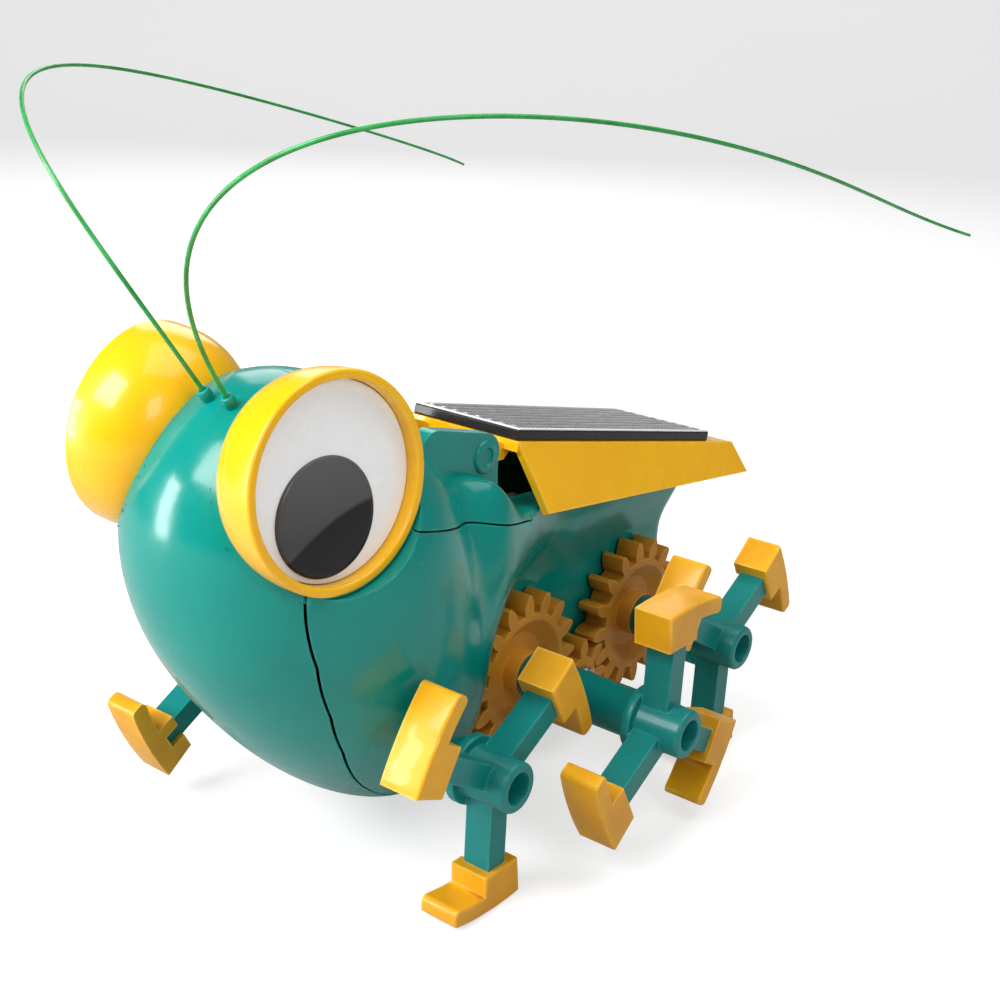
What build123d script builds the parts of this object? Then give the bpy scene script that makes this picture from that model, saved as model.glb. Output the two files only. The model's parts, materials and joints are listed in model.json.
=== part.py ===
from build123d import *
import math
import os

# Solar-powered walking insect toy, built from a kit. Units are millimetres.
# +X is the head end, +Y the insect's left side, +Z up. z = 0 is the ground under the three standing boots,
# and the origin is below the middle of the whole toy. All axles run along Y.

# ---- Where the model's working frame sits: x = 0 of the sizes below is the middle axle ----
MIDDLE_AXLE_X = -0.42

# ---- Axles and legs ----
AXLE_Z = 20.0
FRONT_AXLE_X = 30.0
REAR_AXLE_X = -33.0
AXLE_R = 2.0
RUNNING_GAP = 0.05
ARM_COUNT = 3
ARM_WIDTH = 4.6          # along the axle
ARM_DEPTH = 3.8          # across the arm, in the plane of the star
ARM_TIP_R = 17.4
HUB_R = 3.8
FLANGE_R = 5.2
FLANGE_T = 1.5
HUB_OUTSTAND = 2.2       # hub end beyond the boot's outer face
SOCKET_DEPTH = 4.5       # open socket in the hub, beyond the axle's end
SOCKET_R = 2.4
OUTER_ROW_BOOT_Y = 24.0  # inner face of the front and rear boots
MIDDLE_ROW_BOOT_Y = 33.4
LEFT_PHASES = {"front": 30.0, "middle": 90.0, "rear": 30.0}

# ---- Boots ----
BOOT_WIDTH = 6.4
SOLE_R = 20.0
SOLE_CURVE_R = 48.0
BOOT_HEEL = -4.0
BOOT_BLOCK_FRONT = 3.4
BOOT_TOE = 10.0
BOOT_BLOCK_TOP_R = 13.9
TOE_THICKNESS = 2.8
SOLE_HEEL = -4.8

# ---- Outside gears ----
LEG_GEAR_MODULE = 1.5
LEG_GEAR_TEETH = 16
IDLER_TEETH = 8
LEG_GEAR_Y = (7.2, 11.5)
PRESSURE_ANGLE = 20.0
BACKLASH = 0.16          # thinning of each tooth, in modules

# ---- Gearbox inside the body ----
AXLE_GEAR_TEETH = 18
INNER_IDLER_TEETH = 12
PINION_TEETH = 8
WHEEL_TEETH = 24
FIRST_WHEEL_TEETH = 32
AXLE_MODULE = 1.0
WHEEL_MODULE = 0.8
FIRST_MODULE = 0.6
PLANE_MID = (-1.5, 1.5)
PLANE_LEFT = (1.7, 3.3)
PLANE_RIGHT = (-3.3, -1.7)
PIN_R = 1.0
GEAR_HUB_R = 1.9
GEAR_HUB_END_Y = 3.4     # gear hubs stop just short of the plates
AXLE_GEAR_HUB_R = 3.0
PLATE_Y = (3.6, 4.8)
THIRD_DIRECTION = 110.9  # from the middle axle to the third reduction gear
SECOND_DIRECTION = 52.0
FIRST_DIRECTION = -15.0
MOTOR_DIRECTION = -5.0
MOTOR_R = 8.0
MOTOR_LENGTH = 9.2
ROTOR_SHAFT_R = 0.75

# ---- Body shells ----
WALL = 1.6
SEAM = 0.12
EGG_CENTRE = (35.0, 39.0)
EGG_TILT = 58.9
EGG_LENGTH_R = 39.8
EGG_R = 23.4             # at the widest place
EGG_WIDEST = 8.9         # along the long axis, above the centre
EGG_LOWER_FULLNESS = 0.5
EGG_UPPER_FULLNESS = 0.6
FACE_HALF_WIDTH = 16.6
FACE_TOP_X = 34.0
FACE_BELLY_X = 20.0
FACE_STEP_Z = 42.0
SEAM_SLOPE = 0.147
SEAM_Z_AT_5 = 49.2
COVER_REAR_X = 5.0
TAIL_UPPER_HALF = 10.9
TAIL_LOWER_HALF = 6.6
TAIL_REAR_X = -49.0
TAIL_FRONT_X = 16.0
TAIL_TOP_FRONT_Z = 51.6
TAIL_TOP = ((5.0, 50.0), (-49.0, 46.2))
TAIL_BOTTOM = ((-49.0, 15.0), (-33.0, 9.0), (0.0, 6.4))
TAIL_BOTTOM_FRONT_Z = 5.8
TAIL_CORNER_R = 2.6
TAIL_WAIST_TOP = 41.5
TAIL_WAIST_LOW = 32.5
TAIL_END_R = 4.0
DECK_OPENING = (-43.0, 11.0)
DECK_OPENING_HALF_WIDTH = 7.6
GEAR_POCKET_GAP = 0.9
GEAR_POCKET_FLOOR = 6.7

# ---- Eyes ----
EYE_CENTRE = (51.8, 18.6, 66.4)
EYE_YAW = 5.7            # turned towards the front
EYE_PITCH = 5.1          # turned up
EYE_R = 14.3
EYE_HOLE_R = 12.9
EYE_BAND = 6.7
EYE_DOME = 6.5
EYE_RECESS = 2.4
EYE_RIM_SHOWN = 1.0      # how much of the rim stands free of the cheek all round
EYE_WALL = 1.4
PUPIL_R = 7.8
PUPIL_OFFSET = (1.5, 4.1)  # forward and down, in the plane of the eye

# ---- Antennas ----
ANTENNA_R = 0.35
ANTENNA_POINTS = [
    (55.6, 2.2, 75.1), (91.2, 5.3, 124.8), (52.8, 76.2, 118.7), (-20.3, 38.0, 99.8), (-57.0, 51.2, 89.7),
]

# ---- Wing cover and solar panel ----
WING_FRONT = (5.0, 60.0)
WING_SLOPE = 12.2
WING_LENGTH = 69.0
WING_HALF_WIDTH = 11.0
WING_T = 1.6
FLAP_T = 1.2
FLAP_SPLAY = 0.44        # outward run per drop
FLAP_FRONT = (5.1, 10.2)  # along the wing, and drop, of the lower front corner
FLAP_REAR = (73.2, 5.2)
PANEL_START = 0.6
PANEL_LENGTH = 60.0
PANEL_HALF_WIDTH = 10.3
PANEL_T = 1.9
CELL_COUNT = 8
CELL_T = 0.2
HINGE = (13.5, 59.6)
HINGE_PEG_R = 1.9
LUG_Y = (8.6, 11.3)
PEG_END_Y = 10.3
PEG_HOLE_END_Y = 10.5
ARM_Y = (6.4, 8.3)


def slab(profile, y_low, y_high):
    """Extrude a profile drawn in (x, z) from y_low to y_high."""
    return extrude(Plane.XZ.offset(-y_high) * profile, amount=y_high - y_low, dir=(0, -1, 0))


def disc(x, z, radius, y_low, y_high):
    return slab(Pos(x, z) * Circle(radius), y_low, y_high)


def block(x_range, y_range, z_range):
    size = [high - low for low, high in (x_range, y_range, z_range)]
    centre = [(high + low) / 2 for low, high in (x_range, y_range, z_range)]
    return Pos(*centre) * Box(*size)


def mirrored(shape):
    return mirror(shape, about=Plane.XZ)


def group(shapes):
    """Separate solids that are one kind of piece."""
    return Compound([solid for shape in shapes for solid in shape.solids()])


def main_piece(shape):
    """The largest solid, without the slivers a cut leaves beyond it."""
    return shape.solids().sort_by(SortBy.VOLUME)[-1]


def polar(radius, angle):
    return (radius * math.cos(angle), radius * math.sin(angle))


def outward(start, distance, direction):
    angle = math.radians(direction)
    return (start[0] + distance * math.cos(angle), start[1] + distance * math.sin(angle))


def sided(shape, side):
    """The left part as drawn, or its mirror image on the right."""
    return shape if side == "left" else mirrored(shape)


# ---------------------------------------------------------------- gears
def pitch_r(module, teeth):
    return module * teeth / 2


def tip_r(module, teeth):
    return pitch_r(module, teeth) + module


def centre_distance(module, teeth_a, teeth_b):
    return module * (teeth_a + teeth_b) / 2


def half_tooth_angle(module, teeth, radius):
    """Half the angle that an involute tooth covers at this radius."""
    pressure = math.radians(PRESSURE_ANGLE)
    at_pitch = math.pi / (2 * teeth) - BACKLASH / teeth
    base = pitch_r(module, teeth) * math.cos(pressure)
    local = math.acos(min(1.0, base / radius))
    return at_pitch + (math.tan(pressure) - pressure) - (math.tan(local) - local)


def gear_face(module, teeth, phase):
    """Spur gear outline. phase is the direction of the middle of one tooth, in degrees."""
    root = pitch_r(module, teeth) - 1.25 * module
    base = pitch_r(module, teeth) * math.cos(math.radians(PRESSURE_ANGLE))
    start = max(root, base)
    tip = tip_r(module, teeth)
    middle = (start + tip) / 2
    pitch_angle = 2 * math.pi / teeth
    edges = []
    for tooth in range(teeth):
        centre = math.radians(phase) + pitch_angle * tooth
        half = {radius: half_tooth_angle(module, teeth, radius) for radius in (start, middle, tip)}
        if root < start:
            edges.append(Line(polar(root, centre - half[start]), polar(start, centre - half[start])))
        edges.append(ThreePointArc(*[polar(r, centre - half[r]) for r in (start, middle, tip)]))
        edges.append(ThreePointArc(*[polar(tip, centre + a) for a in (-half[tip], 0, half[tip])]))
        edges.append(ThreePointArc(*[polar(r, centre + half[r]) for r in (tip, middle, start)]))
        if root < start:
            edges.append(Line(polar(start, centre + half[start]), polar(root, centre + half[start])))
        root_angles = [centre + half[start], centre + pitch_angle / 2, centre + pitch_angle - half[start]]
        edges.append(ThreePointArc(*[polar(root, a) for a in root_angles]))
    return Face(Wire(edges))


def gear(module, teeth, phase, centre, y_range):
    return slab(Pos(*centre) * gear_face(module, teeth, phase), *y_range)


def meshing_phase(driver_teeth, driver_phase, driven_teeth, direction):
    """Phase of a driven gear so that one of its gaps takes the driver's tooth in the contact direction."""
    driver_pitch = 360 / driver_teeth
    driven_pitch = 360 / driven_teeth
    into_tooth = (direction - driver_phase) / driver_pitch
    return direction + 180 + (into_tooth + 0.5) * driven_pitch


# ---------------------------------------------------------------- layout of the shafts
FRONT = (FRONT_AXLE_X, AXLE_Z)
MIDDLE = (0.0, AXLE_Z)
REAR = (REAR_AXLE_X, AXLE_Z)
AXLES = {"front": FRONT, "middle": MIDDLE, "rear": REAR}
INNER_IDLER = (FRONT_AXLE_X / 2, AXLE_Z)
THIRD = outward(MIDDLE, centre_distance(AXLE_MODULE, AXLE_GEAR_TEETH, PINION_TEETH), THIRD_DIRECTION)
SECOND = outward(THIRD, centre_distance(WHEEL_MODULE, WHEEL_TEETH, PINION_TEETH), SECOND_DIRECTION)
FIRST = outward(SECOND, centre_distance(WHEEL_MODULE, WHEEL_TEETH, PINION_TEETH), FIRST_DIRECTION)
MOTOR = outward(FIRST, centre_distance(FIRST_MODULE, FIRST_WHEEL_TEETH, PINION_TEETH), MOTOR_DIRECTION)
IDLER_REACH = centre_distance(LEG_GEAR_MODULE, LEG_GEAR_TEETH, IDLER_TEETH)
IDLER_DROP = math.sqrt(IDLER_REACH ** 2 - (REAR_AXLE_X / 2) ** 2)
IDLER = (REAR_AXLE_X / 2, AXLE_Z - IDLER_DROP)
IDLER_DIRECTION = math.degrees(math.atan2(-IDLER_DROP, REAR_AXLE_X / 2))

# Phases, each gear in mesh with the one before it
MIDDLE_LEG_PHASE = 0.0
IDLER_PHASE = meshing_phase(LEG_GEAR_TEETH, MIDDLE_LEG_PHASE, IDLER_TEETH, IDLER_DIRECTION)
REAR_LEG_PHASE = meshing_phase(IDLER_TEETH, IDLER_PHASE, LEG_GEAR_TEETH, 180 - IDLER_DIRECTION)
INNER_IDLER_PHASE = meshing_phase(AXLE_GEAR_TEETH, 0.0, INNER_IDLER_TEETH, 0.0)
FRONT_GEAR_PHASE = meshing_phase(INNER_IDLER_TEETH, INNER_IDLER_PHASE, AXLE_GEAR_TEETH, 0.0)
THIRD_PINION_PHASE = meshing_phase(AXLE_GEAR_TEETH, 0.0, PINION_TEETH, THIRD_DIRECTION)
SECOND_PINION_PHASE = meshing_phase(WHEEL_TEETH, 0.0, PINION_TEETH, SECOND_DIRECTION)
FIRST_PINION_PHASE = meshing_phase(WHEEL_TEETH, 0.0, PINION_TEETH, FIRST_DIRECTION)
MOTOR_PINION_PHASE = meshing_phase(FIRST_WHEEL_TEETH, 0.0, PINION_TEETH, MOTOR_DIRECTION)


# ---------------------------------------------------------------- body shells
def egg(inset):
    """The head: a solid of revolution about a leaning axis, fuller at its upper front end."""
    tip = EGG_LENGTH_R - inset
    girth = EGG_R - inset
    lower_handles = ((-tip, EGG_LOWER_FULLNESS * girth), (EGG_WIDEST - 0.46 * (tip + EGG_WIDEST), girth))
    upper_handles = ((EGG_WIDEST + 0.56 * (tip - EGG_WIDEST), girth), (tip, EGG_UPPER_FULLNESS * girth))
    lower = Bezier((-tip, 0), *lower_handles, (EGG_WIDEST, girth))
    upper = Bezier((EGG_WIDEST, girth), *upper_handles, (tip, 0))
    face = Face(Wire([lower, upper, Line((tip, 0), (-tip, 0))]))
    body = revolve(face, Axis.X, 360)
    return Pos(EGG_CENTRE[0], 0, EGG_CENTRE[1]) * Rot(0, -EGG_TILT, 0) * body


def tail_section(inset):
    """Cross-section of the tail in (y, z), before its top and bottom are cut: a deck over a narrow keel."""
    upper = TAIL_UPPER_HALF - inset
    lower = TAIL_LOWER_HALF - inset
    top = 70.0

    def side(sign):
        points = [(sign * upper, TAIL_WAIST_TOP), (sign * lower, TAIL_WAIST_LOW)]
        return [
            Line((sign * upper, top), points[0]),
            Spline(*points, tangents=[(0, -1), (0, -1)]),
            Line(points[1], (sign * lower, 0)),
        ]

    edges = [Line((-upper, top), (upper, top))] + side(1) + [Line((lower, 0), (-lower, 0))] + side(-1)
    return Face(Wire(edges))


def tail(inset):
    """The tail that carries the middle and rear axles."""
    front_x = TAIL_FRONT_X + inset
    plane = Plane(origin=(TAIL_REAR_X + inset, 0, 0), x_dir=(0, 1, 0), z_dir=(1, 0, 0))
    bar = extrude(plane * tail_section(inset), amount=TAIL_FRONT_X - TAIL_REAR_X, dir=(1, 0, 0))
    rear_edges = bar.edges().filter_by(Axis.Z).group_by(Axis.X)[0].sort_by(Axis.Y)
    outermost = [rear_edges[0], rear_edges[-1]]
    bar = fillet(outermost, TAIL_END_R - inset)
    top = [(front_x, TAIL_TOP_FRONT_Z - inset)] + [(x, z - inset) for x, z in TAIL_TOP]
    bottom = [(x, z + inset) for x, z in TAIL_BOTTOM] + [(front_x, TAIL_BOTTOM_FRONT_Z + inset)]
    edges = list(Polyline(*top).edges()) + [Line(top[-1], bottom[0]), Spline(*bottom), Line(bottom[-1], top[0])]
    solid = bar & slab(Face(Wire(edges)), -20, 20)
    deck = solid.edges().filter_by(lambda e: e.center().Z > 44 - inset and e.length > 5 and abs(e.center().Y) > 8)
    return fillet(deck, TAIL_CORNER_R - inset)


def gear_pockets(extra, floor):
    """Room around the outside gears of the left side."""
    reach = 40.0
    pockets = []
    for centre, teeth in ((MIDDLE, LEG_GEAR_TEETH), (REAR, LEG_GEAR_TEETH), (IDLER, IDLER_TEETH)):
        radius = tip_r(LEG_GEAR_MODULE, teeth) + GEAR_POCKET_GAP + extra
        pockets.append(disc(*centre, radius, floor, reach))
    return pockets


def cup_outer():
    """Outer form of an eye cup about +Z, rim face at z = 0."""
    radius = EYE_R
    outline = [
        Line((0, 0), (radius, 0)),
        Line((radius, 0), (radius, -EYE_BAND)),
        EllipticalCenterArc((0, -EYE_BAND), radius, EYE_DOME, 270, arc_size=90),
        Line((0, -EYE_BAND - EYE_DOME), (0, 0)),
    ]
    return revolve(Plane.XZ * Face(Wire(outline)), Axis.Z, 360)


def eye_location():
    """Frame of the left eye: z out of the rim, x forward in the rim's plane."""
    yaw = math.radians(EYE_YAW)
    pitch = math.radians(EYE_PITCH)
    normal = (math.sin(yaw) * math.cos(pitch), math.cos(yaw) * math.cos(pitch), math.sin(pitch))
    forward = (math.cos(yaw), -math.sin(yaw), 0)
    return Plane(origin=EYE_CENTRE, x_dir=forward, z_dir=normal).location


def eye_room():
    """What the shells leave free for the left eye cup: the cup and the way out over its rim."""
    way_out = Pos(0, 0, 6.0 - EYE_RIM_SHOWN) * Cylinder(EYE_R + 0.15, 12.0)
    return eye_location() * (cup_outer() + way_out)


def seam_z(x):
    return SEAM_Z_AT_5 + SEAM_SLOPE * (x - COVER_REAR_X)


def hinge_lug():
    """Ear of the top cover that holds one wing peg."""
    rear_low = (8.0, seam_z(8.0) + SEAM)
    front_low = (30.0, seam_z(30.0) + SEAM)
    outline = Polyline(front_low, (30.0, 62.0), (26.0, 66.3), (14.2, 63.4), (9.8, 60.0), rear_low, front_low)
    face = Face(Wire(outline.edges()))
    upper_rear = face.vertices().sort_by(Axis.X)[1:3]
    face = fillet(upper_rear, 1.9)
    return slab(face, *LUG_Y)


SCREWS = [(-24.0, 26.0), (-18.5, 38.0), (37.5, 32.0)]
POST_R = 2.6
POST_END_Y = (5.8, 8.6, 19.6)
SCREW_R = 0.9
SCREW_HEAD_R = 1.7
SCREW_HEAD_Y = (-6.5, -5.5)
SCREW_END_Y = 6.0


def half_shell():
    """Left half of the hollow form of head and tail, before it is parted."""
    half = block((-120, 120), (0, 120), (0, 120))
    solid = (egg(0) & half) + (tail(0) & half) - gear_pockets(0, GEAR_POCKET_FLOOR)
    hollow = (egg(WALL) & half) + (tail(WALL) & half)
    hollow -= gear_pockets(WALL, GEAR_POCKET_FLOOR - WALL)
    shell = solid - hollow
    opening = block(DECK_OPENING, (0, DECK_OPENING_HALF_WIDTH), (43.0, 70.0))
    return shell - opening - eye_room()


def cover_outline(grow):
    """Side view of the part of the shell that belongs to the top cover."""
    low_rear = (COVER_REAR_X - grow, seam_z(COVER_REAR_X) - grow)
    low_front = (FACE_TOP_X + grow, seam_z(FACE_TOP_X) - grow)
    high = 120.0
    points = [low_rear, low_front, (FACE_TOP_X + grow, high), (COVER_REAR_X - grow, high), low_rear]
    return slab(Face(Wire(Polyline(*points).edges())), -high, high)


def face_region(grow):
    """Room of the face shell: a band down the front and under the belly."""
    far = 120.0
    half = FACE_HALF_WIDTH + grow
    region = block((FACE_TOP_X - grow, far), (-half, half), (0, far))
    return region + block((FACE_BELLY_X - grow, far), (-half, half), (0, FACE_STEP_Z + grow))


def side_shell(side):
    far = 120.0
    shell = HALF_SHELL - face_region(SEAM) - cover_outline(SEAM)
    shell -= block((-far, far), (0, SEAM / 2), (0, far))
    shell -= [disc(*axle_centre, BUSH_R, 0, far) for axle_centre in AXLES.values()]
    shell -= disc(*IDLER, IDLER_PIN_R, 0, far)
    for post, end_y in zip(SCREWS, POST_END_Y):
        shell += disc(*post, POST_R, PLATE_Y[1], end_y)
    for post in SCREWS:
        if side == "left":
            shell -= disc(*post, SCREW_R, 0, SCREW_END_Y)
        else:
            shell -= disc(*post, SCREW_R, 0, far)
            shell -= disc(*post, SCREW_HEAD_R, -SCREW_HEAD_Y[1], far)
    return sided(shell, side)


def face_shell():
    shell = (egg(0) - egg(WALL)) & face_region(0)
    shell -= [eye_room(), mirrored(eye_room())]
    shell -= disc(*FRONT, BUSH_R, -60, 60)
    return main_piece(shell)


def top_cover():
    half = HALF_SHELL & cover_outline(0)
    half += hinge_lug() - egg(WALL)
    half -= eye_room()
    half -= disc(*HINGE, HINGE_PEG_R + RUNNING_GAP, LUG_Y[0], PEG_HOLE_END_Y)
    return half + mirrored(half)


def shell_screws():
    """Long screws that clamp the side shells, the frame plates and the spacers together."""
    screws = []
    for x, z in SCREWS:
        screw = disc(x, z, SCREW_HEAD_R, *SCREW_HEAD_Y)
        screw += disc(x, z, SCREW_R, SCREW_HEAD_Y[1], SCREW_END_Y)
        slot_y = (SCREW_HEAD_Y[0], SCREW_HEAD_Y[0] + 0.6)
        screw -= block((x - 1.2, x + 1.2), slot_y, (z - 0.2, z + 0.2))
        screw -= block((x - 0.2, x + 0.2), slot_y, (z - 1.2, z + 1.2))
        screws.append(screw)
    return group(screws)


# ---------------------------------------------------------------- bushes, axles and pins
BUSH_R = 3.1
BUSH_FRONT_Y = (14.0, 21.0)
BUSH_TAIL_Y = (GEAR_POCKET_FLOOR - WALL, LEG_GEAR_Y[0] - 0.2)
IDLER_PIN_R = 1.5


def axle_bushes():
    """Six flanged bushes, one where each axle leaves the body."""
    bushes = []
    for name, axle in AXLES.items():
        y_low, y_high = BUSH_FRONT_Y if name == "front" else BUSH_TAIL_Y
        bush = disc(*axle, BUSH_R, y_low, y_high)
        bush -= disc(*axle, AXLE_R + RUNNING_GAP, y_low, y_high)
        bushes += [bush, mirrored(bush)]
    return group(bushes)


def hub_end_y(row):
    boot_y = MIDDLE_ROW_BOOT_Y if row == "middle" else OUTER_ROW_BOOT_Y
    return boot_y + BOOT_WIDTH + HUB_OUTSTAND


def axle(row):
    end = hub_end_y(row) - SOCKET_DEPTH
    rod = disc(*AXLES[row], AXLE_R, -end, end)
    return chamfer(rod.edges().filter_by(GeomType.CIRCLE), 0.3)


def idler_pin(side):
    pin = disc(*IDLER, IDLER_PIN_R, GEAR_POCKET_FLOOR - WALL, LEG_GEAR_Y[1] + 0.3)
    head = disc(*IDLER, 2.6, LEG_GEAR_Y[1] + 0.3, LEG_GEAR_Y[1] + 1.3)
    head = fillet(head.edges().group_by(Axis.Y)[-1], 0.5)
    return sided(pin + head, side)


def leg_gear(centre, phase, bore):
    """Outside leg gear: raised tooth ring around a dished web and a hub."""
    wheel = gear(LEG_GEAR_MODULE, LEG_GEAR_TEETH, phase, centre, LEG_GEAR_Y)
    face_y = LEG_GEAR_Y[1]
    dish = Pos(centre[0], face_y - 1.0, centre[1]) * Rot(-90, 0, 0) * Cone(6.4, 9.0, 2.0)
    wheel -= dish
    wheel += disc(*centre, 3.8, face_y - 2.4, face_y + 0.8)
    return wheel - disc(*centre, bore, 0, 20)


def idler_gear(side):
    wheel = gear(LEG_GEAR_MODULE, IDLER_TEETH, IDLER_PHASE, IDLER, LEG_GEAR_Y)
    wheel -= disc(*IDLER, IDLER_PIN_R + RUNNING_GAP, 0, 20)
    return sided(wheel, side)


# ---------------------------------------------------------------- legs
def star_phase(row, side):
    return LEFT_PHASES[row] + (0 if side == "left" else 60)


def leg_star(row, side):
    """Three arms at 120 degrees on a hub tube."""
    centre = AXLES[row]
    boot_y = MIDDLE_ROW_BOOT_Y if row == "middle" else OUTER_ROW_BOOT_Y
    arm_y = boot_y + (BOOT_WIDTH - ARM_WIDTH) / 2
    hub_start = BUSH_FRONT_Y[1] + 0.3 if row == "front" else LEG_GEAR_Y[1] + 0.8
    star = disc(*centre, HUB_R, hub_start, hub_end_y(row))
    star = chamfer(star.edges().filter_by(GeomType.CIRCLE).group_by(Axis.Y)[-1], 0.4)
    star += disc(*centre, FLANGE_R, arm_y - FLANGE_T, arm_y)
    phase = star_phase(row, side)
    for index in range(ARM_COUNT):
        arm = Pos(ARM_TIP_R / 2, 0) * Rectangle(ARM_TIP_R, ARM_DEPTH)
        arm = slab(Pos(*centre) * Rot(0, 0, phase + 360 / ARM_COUNT * index) * arm, arm_y, arm_y + ARM_WIDTH)
        star += arm
    star -= disc(*centre, AXLE_R, hub_start, hub_end_y(row))
    star -= disc(*centre, SOCKET_R, hub_end_y(row) - SOCKET_DEPTH, hub_end_y(row))
    return sided(star, side)


def sole_r(along):
    """Distance of the sole below the hub, at a place along the foot."""
    return SOLE_R - along ** 2 / (2 * SOLE_CURVE_R)


def boot_profile():
    """Side view of a boot in (along the toe, outward from the hub)."""
    toe_top = sole_r(BOOT_TOE) - TOE_THICKNESS
    instep = sole_r(BOOT_BLOCK_FRONT) - TOE_THICKNESS
    middle = (BOOT_BLOCK_FRONT + BOOT_TOE) / 2
    edges = [
        Line((BOOT_HEEL, BOOT_BLOCK_TOP_R), (BOOT_BLOCK_FRONT, BOOT_BLOCK_TOP_R)),
        Line((BOOT_BLOCK_FRONT, BOOT_BLOCK_TOP_R), (BOOT_BLOCK_FRONT, instep)),
        ThreePointArc((BOOT_BLOCK_FRONT, instep), (middle, sole_r(middle) - TOE_THICKNESS), (BOOT_TOE, toe_top)),
        Line((BOOT_TOE, toe_top), (BOOT_TOE, sole_r(BOOT_TOE))),
        ThreePointArc((BOOT_TOE, sole_r(BOOT_TOE)), (2.0, sole_r(2.0)), (SOLE_HEEL, sole_r(SOLE_HEEL))),
        Line((SOLE_HEEL, sole_r(SOLE_HEEL)), (BOOT_HEEL, BOOT_BLOCK_TOP_R)),
    ]
    return Face(Wire(edges))


def boots(row, side):
    """The three boots pressed on one star's arms, as separate solids."""
    centre = AXLES[row]
    boot_y = MIDDLE_ROW_BOOT_Y if row == "middle" else OUTER_ROW_BOOT_Y
    boot = slab(boot_profile(), boot_y, boot_y + BOOT_WIDTH)
    outer_edges = boot.edges().filter_by(Axis.Y)
    boot = fillet(outer_edges.sort_by(Axis.X)[-2:], 0.9)
    boot = fillet(boot.edges().group_by(Axis.Y)[-1], 0.45)
    socket_x = (-ARM_DEPTH / 2, ARM_DEPTH / 2)
    arm_y = boot_y + (BOOT_WIDTH - ARM_WIDTH) / 2
    boot -= block(socket_x, (arm_y, arm_y + ARM_WIDTH), (0, ARM_TIP_R))
    boot -= block((-1.2, 1.2), (boot_y, arm_y), (0, ARM_TIP_R - 0.8))
    result = []
    for index in range(ARM_COUNT):
        arm_angle = star_phase(row, side) + 360 / ARM_COUNT * index
        # At arm_angle 90 the drawn boot's outward direction is +Z and its toe points along -X.
        turned = mirror(boot, about=Plane.YZ)
        turned = Rot(0, -(arm_angle - 90), 0) * turned
        result.append(sided(Pos(centre[0], 0, centre[1]) * turned, side))
    return group(result)


# ---------------------------------------------------------------- gearbox
def pinned(shape, centre):
    return shape - disc(*centre, PIN_R + RUNNING_GAP, -10, 10)


def axle_gear(centre, phase):
    wheel = gear(AXLE_MODULE, AXLE_GEAR_TEETH, phase, centre, PLANE_MID)
    wheel += disc(*centre, AXLE_GEAR_HUB_R, -GEAR_HUB_END_Y, PLANE_MID[1])
    return wheel - disc(*centre, AXLE_R, -10, 10)


def inner_idler_gear():
    wheel = gear(AXLE_MODULE, INNER_IDLER_TEETH, INNER_IDLER_PHASE, INNER_IDLER, PLANE_MID)
    return pinned(wheel + disc(*INNER_IDLER, GEAR_HUB_R, -GEAR_HUB_END_Y, GEAR_HUB_END_Y), INNER_IDLER)


def third_reduction_gear():
    pinion_y = (PLANE_MID[0], PLANE_LEFT[0])
    body = gear(AXLE_MODULE, PINION_TEETH, THIRD_PINION_PHASE, THIRD, pinion_y)
    body += gear(WHEEL_MODULE, WHEEL_TEETH, 0.0, THIRD, PLANE_LEFT)
    return pinned(body + disc(*THIRD, GEAR_HUB_R, -GEAR_HUB_END_Y, PLANE_MID[0]), THIRD)


def second_reduction_gear():
    body = gear(WHEEL_MODULE, PINION_TEETH, SECOND_PINION_PHASE, SECOND, PLANE_LEFT)
    body += gear(WHEEL_MODULE, WHEEL_TEETH, 0.0, SECOND, PLANE_RIGHT)
    return pinned(body + disc(*SECOND, GEAR_HUB_R, PLANE_RIGHT[1], PLANE_LEFT[0]), SECOND)


def first_reduction_gear():
    pinion_y = (PLANE_RIGHT[0], PLANE_MID[0])
    wheel_y = (PLANE_MID[0], PLANE_MID[1] - 0.3)
    body = gear(WHEEL_MODULE, PINION_TEETH, FIRST_PINION_PHASE, FIRST, pinion_y)
    body += gear(FIRST_MODULE, FIRST_WHEEL_TEETH, 0.0, FIRST, wheel_y)
    return pinned(body + disc(*FIRST, GEAR_HUB_R, wheel_y[1], GEAR_HUB_END_Y), FIRST)


def gear_pins():
    """Fixed pins of the four gears that turn on the frame."""
    ends = PLATE_Y[1]
    return group([disc(*centre, PIN_R, -ends, ends) for centre in (INNER_IDLER, THIRD, SECOND, FIRST)])


SPACER_R = 1.9
MOTOR_BOSS_R = 2.4


def frame_plate(side):
    """One of the two plates that hold the gear train."""
    outline = Polyline(
        (-37.5, 15.0), (-37.5, 26.0), (-22.5, 40.8), (-4.0, 48.0), (20.0, 46.0), (33.5, 42.0),
        (40.0, 34.0), (39.0, 30.0), (35.5, 14.5), (-30.0, 13.0), (-37.5, 15.0),
    )
    face = Face(Wire(outline.edges()))
    face = fillet(face.vertices(), 2.0)
    plate = slab(face, *PLATE_Y)
    plate -= [disc(*axle_centre, AXLE_R + RUNNING_GAP, 0, 10) for axle_centre in AXLES.values()]
    plate -= [disc(*centre, PIN_R, 0, 10) for centre in (INNER_IDLER, THIRD, SECOND, FIRST)]
    plate -= [disc(*centre, SCREW_R, 0, 10) for centre in SCREWS]
    if side == "right":
        plate -= disc(*MOTOR, MOTOR_BOSS_R, 0, 10)
    return sided(plate, side)


def frame_spacers():
    half = PLATE_Y[0]
    return group([disc(*centre, SPACER_R, -half, half) - disc(*centre, SCREW_R, -half, half) for centre in SCREWS])


# ---------------------------------------------------------------- motor
MOTOR_Y = (-PLATE_Y[1] - MOTOR_LENGTH, -PLATE_Y[1])


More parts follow.
